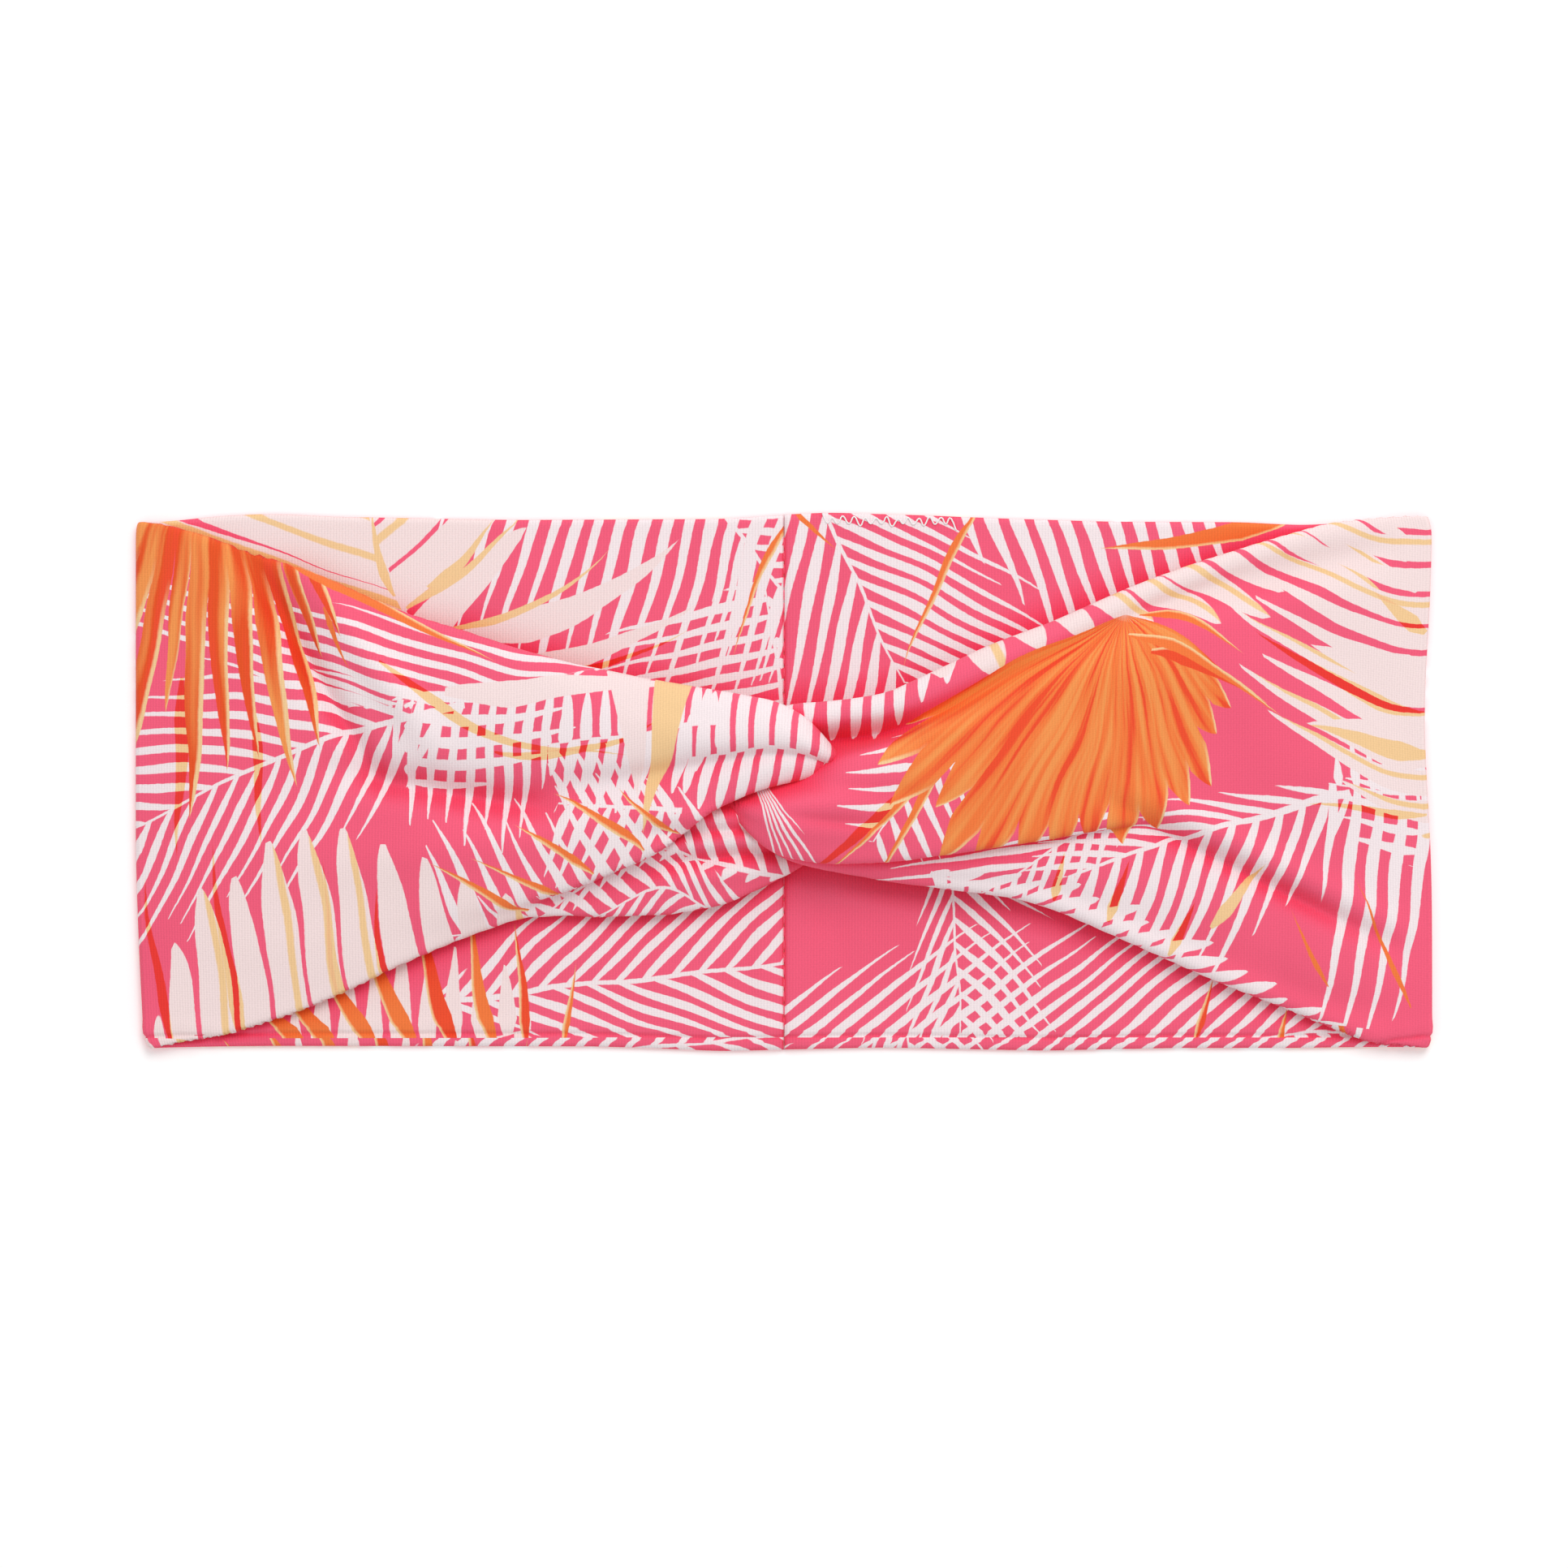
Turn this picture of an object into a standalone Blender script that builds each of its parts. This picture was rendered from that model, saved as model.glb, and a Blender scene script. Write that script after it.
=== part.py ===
"""A twist-front headband of double-layer jersey, pressed flat on its back panel.

Metres. X runs along the band, Y across it and Z up through its layers. Each half
of the band is a tube of jersey, split here at its folds into layers. The halves
meet in a seam at the centre back and in two interlocked folds at the front.
"""

import math

import bpy
from mathutils import Vector

MM = 0.001

# The band, pressed flat
HALF_LENGTH = 120 * MM
HALF_WIDTH = 50 * MM
CLOTH = 0.5 * MM
GAP = 0.3 * MM
PITCH = CLOTH + GAP

# Middle height of each layer where the loop is pressed shut
BACK_OUTER_Z = CLOTH / 2
BACK_INNER_Z = BACK_OUTER_Z + PITCH

# The folds at the two ends of the pressed loop
FOLD_Z = BACK_INNER_Z + PITCH / 2
OUTER_FOLD_RADIUS = 1.5 * PITCH
INNER_FOLD_RADIUS = 0.5 * PITCH
FOLD_X = HALF_LENGTH - CLOTH / 2 - OUTER_FOLD_RADIUS
LIP_X = FOLD_X - 1.05 * MM
FOLD_STEPS = 6

# The front, which rises from the end folds to the twist
LOBE_END_X = 18 * MM
RAISED_X = 85 * MM
RAISED_Z = 7.25 * MM
CROWN = 4.5 * MM
LOBE_STATIONS = 12
LOBE_POINTS = 13
INNER_SHARE = 0.96

# Seams
SEAM_ALLOWANCE = 5.7 * MM
SEAM_GROOVE = 0.9 * MM
LONG_SEAM_Y = -47.85 * MM
LONG_SEAM_END_X = 108 * MM
SEAM_RAMP = 3 * MM
CENTRE_SEAM_REACH = 9.5 * MM
TOP_SPLIT_Y = 48.3 * MM
THREAD_RADIUS = 0.15 * MM
STITCH = 2.4 * MM
STITCH_LIFT = 0.08 * MM

# Zigzag stitches that close the turning gap, in the fold along the top
CLOSING_START_X = 7 * MM
CLOSING_END_X = 33 * MM
CLOSING_Y = 48.7 * MM
CLOSING_HEIGHT = 1.2 * MM
CLOSING_PITCH = 1.6 * MM

# The twist
FOLD_BUNDLE_RADIUS = 3.1 * MM
TWIST_SEAM_SIZE = Vector((5, 3.4, 1.6)) * MM
TWIST_SEAM_Z = 9.4 * MM

# Edges of the front, from the end fold to the twist: distance from the middle, then Y
LEFT_TOP_EDGE = (
    (119, 48.6), (112, 47.6), (102, 44.3), (86, 39.1), (70, 31.6), (49, 24.6), (25, 19.3), (18, 18)
)
LEFT_BOTTOM_EDGE = (
    (119, -49.4), (111, -47.8), (100, -46), (89, -42.4), (73, -34.6), (49, -25), (32, -24.5), (18, -24)
)
RIGHT_TOP_EDGE = (
    (119, 49.5), (101, 48.2), (89, 44.8), (77, 41), (65, 36.6), (50, 29.8), (38, 25.3), (18, 17.5)
)
RIGHT_BOTTOM_EDGE = (
    (119, -49.2), (108, -48), (95, -42.8), (80, -36.9), (65, -30.1), (50, -23.4), (42, -21), (18, -17.8)
)

# Middle line of the left fold of the twist. The right fold is this one turned half a turn.
TWIST_PATH = (
    (-17, 9, 9), (-12, 9.2, 10.5), (-6, 9, 12.3), (0, 8, 13), (5.5, 5, 12.2), (8.8, 1, 9.8),
    (6.5, -3.2, 7.3), (1, -6, 6.2), (-6, -7.6, 6.2), (-12, -8, 6.9), (-17, -8, 7.5)
)

PINK = (0.87, 0.10, 0.22)
CORAL = (0.90, 0.19, 0.06)
PALE = (0.93, 0.80, 0.81)
CLOTH_ROUGHNESS = 0.9
THREAD_ROUGHNESS = 0.7


def clear_scene():
    for obj in list(bpy.data.objects):
        bpy.data.objects.remove(obj, do_unlink=True)


def new_collection(name):
    collection = bpy.data.collections.new(name)
    bpy.context.scene.collection.children.link(collection)
    return collection


def cloth_material(name, colour, roughness):
    material = bpy.data.materials.new(name)
    material.use_nodes = True
    shader = material.node_tree.nodes["Principled BSDF"]
    shader.inputs["Base Color"].default_value = (*colour, 1)
    shader.inputs["Roughness"].default_value = roughness
    shader.inputs["Metallic"].default_value = 0
    material.diffuse_color = (*colour, 1)
    return material


def place(name, data, colour, roughness=CLOTH_ROUGHNESS):
    obj = bpy.data.objects.new(name, data)
    data.materials.append(cloth_material(name, colour, roughness))
    band.objects.link(obj)
    return obj


def give_thickness(obj):
    solidify = obj.modifiers.new("cloth thickness", "SOLIDIFY")
    solidify.thickness = CLOTH
    solidify.offset = 0
    solidify.use_even_offset = True


def between(points, distance):
    """The value at this distance from the middle, on a line of (distance, value) in mm."""
    distance /= MM
    for (far, far_value), (near, near_value) in zip(points, points[1:]):
        if distance >= near:
            share = (min(distance, far) - near) / (far - near)
            return (near_value + share * (far_value - near_value)) * MM
    return points[-1][1] * MM


def ease(share):
    share = min(max(share, 0), 1)
    return share * share * (3 - 2 * share)


def lofted_sheet(name, sections, colour):
    """One layer of cloth through a row of sections that each hold the same number of points."""
    count = len(sections[0])
    points = [point for section in sections for point in section]
    faces = []
    for i in range(len(sections) - 1):
        for j in range(count - 1):
            first = i * count + j
            faces.append((first, first + 1, first + count + 1, first + count))
    mesh = bpy.data.meshes.new(name)
    mesh.from_pydata(points, [], faces)
    for face in mesh.polygons:
        face.use_smooth = True
    obj = place(name, mesh, colour)
    give_thickness(obj)
    return obj


def arc(centre, radius, start, end):
    """Points of a circular bend, from one angle in degrees to another."""
    found = []
    for i in range(FOLD_STEPS + 1):
        angle = math.radians(start + (end - start) * i / FOLD_STEPS)
        found.append((centre[0] + radius * math.cos(angle), centre[1] + radius * math.sin(angle)))
    return found


def back_outer_layer(name, side):
    """The layer that lies on the table. Both its long edges turn up over the tube's inside."""
    radius = PITCH / 2
    bend_y = HALF_WIDTH - CLOTH / 2 - radius
    bend_z = BACK_OUTER_Z + radius
    profile = [(LONG_SEAM_Y - SEAM_GROOVE / 2, BACK_INNER_Z)]
    profile += arc((-bend_y, bend_z), radius, 90, 270)
    profile += arc((bend_y, bend_z), radius, -90, 90)
    profile += [(TOP_SPLIT_Y + GAP, BACK_INNER_Z)]
    start = GAP / 2
    curve = bpy.data.curves.new(name, "CURVE")
    curve.dimensions = "2D"
    curve.fill_mode = "NONE"
    curve.extrude = (LIP_X - GAP - start) / 2
    spline = curve.splines.new("POLY")
    spline.points.add(len(profile) - 1)
    for point, (y, z) in zip(spline.points, profile):
        point.co = (y, z, 0, 1)
    obj = place(name, curve, PINK)
    obj.location.x = side * (start + curve.extrude)
    obj.rotation_euler = (math.pi / 2, 0, math.pi / 2)
    give_thickness(obj)


def back_inner_height(distance, y):
    """The inner layer lies on the outer one and rises over the seam allowances inside the tube."""
    from_centre = 1 - ease((distance - SEAM_ALLOWANCE - 2 * GAP) / SEAM_RAMP)
    from_long = 1 - ease((y - LONG_SEAM_Y - SEAM_ALLOWANCE - 4 * GAP) / SEAM_RAMP)
    from_long *= 1 - ease((distance - LONG_SEAM_END_X) / SEAM_RAMP)
    return BACK_INNER_Z + PITCH * max(from_centre, from_long)


def back_inner_layer(name, side):
    near = SEAM_GROOVE / 2
    low = LONG_SEAM_Y + SEAM_GROOVE / 2
    shoulder = SEAM_ALLOWANCE + 2 * GAP
    xs = [near, shoulder / 2, shoulder, shoulder + SEAM_RAMP / 2, shoulder + SEAM_RAMP]
    xs += [36 * MM, 72 * MM]
    xs += [LONG_SEAM_END_X, LONG_SEAM_END_X + SEAM_RAMP / 2, LONG_SEAM_END_X + SEAM_RAMP, LIP_X - GAP]
    ramp = LONG_SEAM_Y + SEAM_ALLOWANCE + 4 * GAP
    ys = [low, low + SEAM_ALLOWANCE / 2, ramp, ramp + SEAM_RAMP / 2, ramp + SEAM_RAMP]
    ys += [-18 * MM, 0, 18 * MM, 36 * MM, TOP_SPLIT_Y]
    sections = [[(side * x, y, back_inner_height(x, y)) for y in ys] for x in xs]
    lofted_sheet(name, sections, PINK)


def lobe_height(distance, across):
    """Middle of the two front layers: shut at the end fold, raised and crowned at the twist."""
    rise = min(max((FOLD_X - distance) / (FOLD_X - RAISED_X), 0), 1)
    crown = CROWN * ease((FOLD_X - distance) / (FOLD_X - LOBE_END_X))
    shut = FOLD_Z + PITCH
    return shut + (RAISED_Z - shut) * rise + crown * (1 - across * across)


def front_layer(name, side, top_edge, bottom_edge, outer, colour):
    """One front layer with the end fold that it wraps round, down to its lip on the back panel."""
    radius = OUTER_FOLD_RADIUS if outer else INNER_FOLD_RADIUS
    offset = PITCH / 2 if outer else -PITCH / 2
    share = 1 if outer else INNER_SHARE
    line = [(LIP_X, FOLD_Z - radius)] + arc((FOLD_X, FOLD_Z), radius, -90, 90)
    sections = []
    for i, (distance, bend_z) in enumerate(line + [(0, 0)] * LOBE_STATIONS):
        lifted = i >= len(line)
        if lifted:
            step = (i - len(line) + 1) / LOBE_STATIONS
            distance = FOLD_X + (LOBE_END_X - FOLD_X) * step
        top = between(top_edge, distance)
        bottom = between(bottom_edge, distance)
        section = []
        for j in range(LOBE_POINTS):
            across = share * (2 * j / (LOBE_POINTS - 1) - 1)
            y = (top + bottom) / 2 + across * (top - bottom) / 2
            z = lobe_height(distance, across) + offset if lifted else bend_z
            section.append((side * distance, y, z))
        sections.append(section)
    lofted_sheet(name, sections, colour)


def seam_allowance(name, centre, size):
    """A folded-back strip of cloth beside a seam."""
    bpy.ops.mesh.primitive_cube_add(size=1, location=centre)
    obj = bpy.context.object
    for collection in list(obj.users_collection):
        collection.objects.unlink(obj)
    band.objects.link(obj)
    obj.name = name
    obj.data.name = name
    obj.scale = size
    obj.data.materials.append(cloth_material(name, PALE, CLOTH_ROUGHNESS))


def round_line(name, points, radius, colour, roughness=THREAD_ROUGHNESS, smooth=False):
    """A round cord of thread, or a rolled bundle of cloth, along a line of points."""
    curve = bpy.data.curves.new(name, "CURVE")
    curve.dimensions = "3D"
    curve.bevel_depth = radius
    curve.bevel_resolution = 2
    curve.use_fill_caps = True
    spline = curve.splines.new("NURBS" if smooth else "POLY")
    spline.points.add(len(points) - 1)
    for point, position in zip(spline.points, points):
        point.co = (*position, 1)
    if smooth:
        spline.use_endpoint_u = True
        spline.order_u = 3
        curve.resolution_u = 3
    return place(name, curve, colour, roughness)


def stitches(name, start, end, colour):
    """A line of stitches that rises and dips a little, once in each stitch."""
    start = Vector(start)
    end = Vector(end)
    count = round((end - start).length / STITCH)
    points = []
    for i in range(count + 1):
        lift = Vector((0, 0, STITCH_LIFT * (-1) ** i))
        points.append(start.lerp(end, i / count) + lift)
    round_line(name, points, THREAD_RADIUS, colour)


clear_scene()
band = new_collection("twist_front_headband")

for label, side in (("left", -1), ("right", 1)):
    back_outer_layer(f"{label}_back_outer_layer", side)
    back_inner_layer(f"{label}_back_inner_layer", side)

front_layer("left_front_outer_layer", -1, LEFT_TOP_EDGE, LEFT_BOTTOM_EDGE, True, PINK)
front_layer("left_front_inner_layer", -1, LEFT_TOP_EDGE, LEFT_BOTTOM_EDGE, False, PINK)
front_layer("right_front_outer_layer", 1, RIGHT_TOP_EDGE, RIGHT_BOTTOM_EDGE, True, CORAL)
front_layer("right_front_inner_layer", 1, RIGHT_TOP_EDGE, RIGHT_BOTTOM_EDGE, False, CORAL)

# The twist: two hooked bundles, the right one the left one turned half a turn about Z
twist_path = [Vector(point) * MM for point in TWIST_PATH]
bundle = {"radius": FOLD_BUNDLE_RADIUS, "roughness": CLOTH_ROUGHNESS, "smooth": True}
round_line("left_twist_fold", twist_path, colour=PINK, **bundle)
right_fold = round_line("right_twist_fold", twist_path, colour=CORAL, **bundle)
right_fold.rotation_euler.z = math.pi
seam_allowance("twist_seam_allowance", (0, 0, TWIST_SEAM_Z), TWIST_SEAM_SIZE)
twist_stitch_z = TWIST_SEAM_Z + TWIST_SEAM_SIZE.z / 2 + GAP + THREAD_RADIUS
stitches("twist_seam_thread", (-2 * MM, 0, twist_stitch_z), (2 * MM, 0, twist_stitch_z), PALE)

# Seam allowances inside the tube, between its two back layers
for label, side in (("left", -1), ("right", 1)):
    width = SEAM_ALLOWANCE
    allowance_x = side * (GAP + width / 2)
    low = LONG_SEAM_Y + SEAM_ALLOWANCE + 3 * GAP
    high = TOP_SPLIT_Y - 1 * MM
    seam_allowance(
        f"back_seam_allowance_{label}",
        (allowance_x, (low + high) / 2, BACK_INNER_Z),
        (width, high - low, CLOTH),
    )
    near = SEAM_GROOVE
    seam_allowance(
        f"long_seam_allowance_{label}",
        (side * (near + LONG_SEAM_END_X) / 2, LONG_SEAM_Y + SEAM_GROOVE + width / 2, BACK_INNER_Z),
        (LONG_SEAM_END_X - near, width, CLOTH),
    )
    stitches(
        f"long_seam_thread_{label}",
        (side * 1.2 * MM, LONG_SEAM_Y, BACK_INNER_Z),
        (side * LONG_SEAM_END_X, LONG_SEAM_Y, BACK_INNER_Z),
        PALE,
    )

stitches(
    "back_seam_thread",
    (0, LONG_SEAM_Y + 1.5 * MM, BACK_INNER_Z + PITCH),
    (0, TOP_SPLIT_Y - 0.5 * MM, BACK_INNER_Z + PITCH),
    PALE,
)

zigzag = []
count = round((CLOSING_END_X - CLOSING_START_X) / CLOSING_PITCH * 2)
for i in range(count + 1):
    x = CLOSING_START_X + i * CLOSING_PITCH / 2
    y = CLOSING_Y + CLOSING_HEIGHT / 2 * (-1) ** i
    over_allowance = PITCH if x < CENTRE_SEAM_REACH else 0
    zigzag.append((x, y, BACK_INNER_Z + CLOTH / 2 + GAP + THREAD_RADIUS + over_allowance))
round_line("closing_stitch_thread", zigzag, THREAD_RADIUS, PALE)
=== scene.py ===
"""The looks of a twist-front headband: two half tubes of printed jersey, their seams and the light.

Metres in the scene; the shapes and the print below are laid out in millimetres, in the
CAD model's frame: X along the band, Y across it, Z up from the table.
"""

import math

import bpy
import numpy as np
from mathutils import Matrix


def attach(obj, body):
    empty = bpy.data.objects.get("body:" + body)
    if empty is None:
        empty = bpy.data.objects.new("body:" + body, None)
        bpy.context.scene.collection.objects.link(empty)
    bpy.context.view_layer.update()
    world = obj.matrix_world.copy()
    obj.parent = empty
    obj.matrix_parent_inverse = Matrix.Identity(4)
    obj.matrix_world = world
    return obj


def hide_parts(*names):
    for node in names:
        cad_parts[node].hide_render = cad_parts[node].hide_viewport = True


MM = 0.001
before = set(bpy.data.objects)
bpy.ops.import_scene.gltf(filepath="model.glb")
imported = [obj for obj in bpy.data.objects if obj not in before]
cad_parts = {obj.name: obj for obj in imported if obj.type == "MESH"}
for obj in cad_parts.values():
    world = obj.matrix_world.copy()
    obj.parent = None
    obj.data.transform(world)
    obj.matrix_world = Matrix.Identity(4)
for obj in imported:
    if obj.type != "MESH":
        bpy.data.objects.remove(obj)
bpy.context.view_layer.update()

# ---------------------------------------------------------------- camera
VIEW_WIDTH = 289.4 * MM
VIEW_PLANE = 5 * MM
CAMERA_Y = -0.3 * MM
CAMERA_HEIGHT = 1.2
SENSOR = 36.0


def add_object(name, data):
    added = bpy.data.objects.new(name, data)
    bpy.context.scene.collection.objects.link(added)
    return added


def add_camera():
    data = bpy.data.cameras.new("camera")
    camera = add_object("camera", data)
    camera.location = (0, CAMERA_Y, CAMERA_HEIGHT)
    data.sensor_width = SENSOR
    data.lens = SENSOR * (CAMERA_HEIGHT - VIEW_PLANE) / VIEW_WIDTH
    data.clip_start = 0.05
    bpy.context.scene.camera = camera


add_camera()

# ---------------------------------------------------------------- the cloth's shape
# A tube's two faces are one closed sheet. Its middle surface is shaped first, and the faces lie
# half the tube's thickness off it.
BAND_HALF_LENGTH = 120.0
BAND_HALF_WIDTH = 49.6
TUBE_WIDTH = 2 * BAND_HALF_WIDTH
CLOTH_HALF_THICKNESS = 0.6
EDGE_ROUND = 0.8
END_ROUND = 0.45
BACK_Z = 0.66
FRONT_Z = 2.06
LOWEST_FOLD = FRONT_Z + 0.3

# The end fold, and the x from which the back's edges bend toward the front's
FOLD_X = 118.7
FOLD_Z = 2.05
FOLD_STEPS = 6
BLEND_START = 90.0

# Distances between the mesh's rows and columns, which are smaller at the edges and the seams
STEP = 0.8
CENTRE_STEPS = (0.03, 0.15, 0.45)
EDGE_STEPS = (0.0, 0.12, 0.4)
SEAM_INSET = 2.4
LONG_SEAM_Y = SEAM_INSET - BAND_HALF_WIDTH
SEAM_STEPS = (-0.6, -0.25, 0.0, 0.25, 0.6)
LINE_SMOOTHING = 12
FACE_SMOOTHING = 3

# Seam relief, as (height, width of its bell, distance of its middle from the seam)
SEAM_GROOVE = (-0.34, 0.28, 0.0)
SEAM_ALLOWANCE = (0.16, 1.3, -1.5)
SEAM_PUCKER = (0.09, 1.8, -0.4)
PUCKER_WAVE = 1.45
PUCKER_DRIFT = (1.7, 0.31)
CENTRE_RIDGE = (0.32, 6.0)
CENTRE_GROOVE_WIDTH = 0.8

# How far the cloth draws the end folds in, as (depth, y of its start or peak, distance it takes)
LEFT_PULL = (1.5, -10, 39)
RIGHT_PULL = (1.3, 12, 20)
CORNER_PULL = (0.9, 46, 3.5)

# The back's long edges wander a little, as (x, y)
TOP_EDGE = ((-118.7, 48.3), (-107, 49.7), (-95, 49.8), (-83, 49.2), (-50, 48.6), (-11, 48.8), (0, 49.6),
            (8, 50.0), (25, 49.5), (40, 48.9), (60, 48.3), (85, 48.2), (96, 47.6), (118.7, 47.9))
BOTTOM_EDGE = ((-118.7, -48.8), (-107, -48.8), (-35, -48.9), (-23, -49.3), (-11, -49.8), (0, -49.5),
               (18, -49.1), (48, -49.7), (72, -49.2), (96, -49.2), (118.7, -48.8))

# Small folds of each half's back and front, as (x, y) of both ends, width and height
LEFT_BACK_FOLDS = (
    (-9, -16, -7, -48, 2.6, -0.3),
    (-3.5, -14, -4, -40, 1.8, 0.22),
    (-32, 18, -14, 49, 3.5, -0.22),
    (-62, 30, -30, 44, 5, 0.2),
    (-70, -34, -30, -24, 4, 0.25),
)
RIGHT_BACK_FOLDS = (
    (5, -16, 13, -36, 3.2, -0.32),
    (20, -20, 52, -36, 4, -0.25),
    (4, 12, 9, 44, 2.6, -0.25),
    (28, 26, 60, 42, 4, -0.25),
    (70, -40, 100, -44, 3, 0.2),
)
LEFT_FRONT_FOLDS = (
    (-28, -6.5, 2, -6.2, 1.5, 1.7),
    (-28, -9.5, 2, -8.2, 1.2, -1.8),
    (-26, -12.5, 3, -9.8, 1.5, 1.6),
    (-26, -15.5, 4, -11.8, 1.2, -1.7),
    (-26, -19, 4, -14, 1.6, 1.2),
    (-50, -22, -22, -21, 1.4, -0.4),
    (-102, 46, -72, -4, 2.6, -3.4),
    (-94, 46, -62, 4, 3.2, 2.6),
    (-66, 30, -30, 14, 4, 0.7),
    (-86, 3, -40, -6, 3.2, -3.6),
    (-88, -16, -30, -8, 4, 0.8),
    (-112, 4, -60, -14, 7, -0.5),
    (-108, -30, -60, -34, 6, 0.5),
    (-30, 14, 2, 9.5, 1.2, -0.35),
    (-24, 8, 6, 6.5, 1.3, 0.4),
)
RIGHT_FRONT_FOLDS = (
    (58, -2.5, 118, -33, 1.5, -3.2),
    (62, -0.6, 118, -29, 2.2, 1.5),
    (4, 7.5, 26, 10.5, 2.4, -3.4),
    (64, 30, 114, 44, 3.0, -2.2),
    (12, 9.5, 42, 10, 1.6, 0.5),
    (-5, 0.5, 34, -3, 1.6, -0.7),
    (-7, -3.0, 18, -5, 1.4, 0.6),
    (-6, -5.5, 22, -8.5, 1.2, -0.7),
    (-2, -8.5, 30, -10, 1.5, 0.5),
    (36, 18, 90, 22, 5, 0.6),
    (84, 36, 118, 8, 6, -0.5),
    (84, 6, 118, -6, 5, 0.4),
    (22, -12.5, 62, -12, 1.4, 0.4),
    (90, -38, 118, -44, 2.6, -0.4),
)

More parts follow.
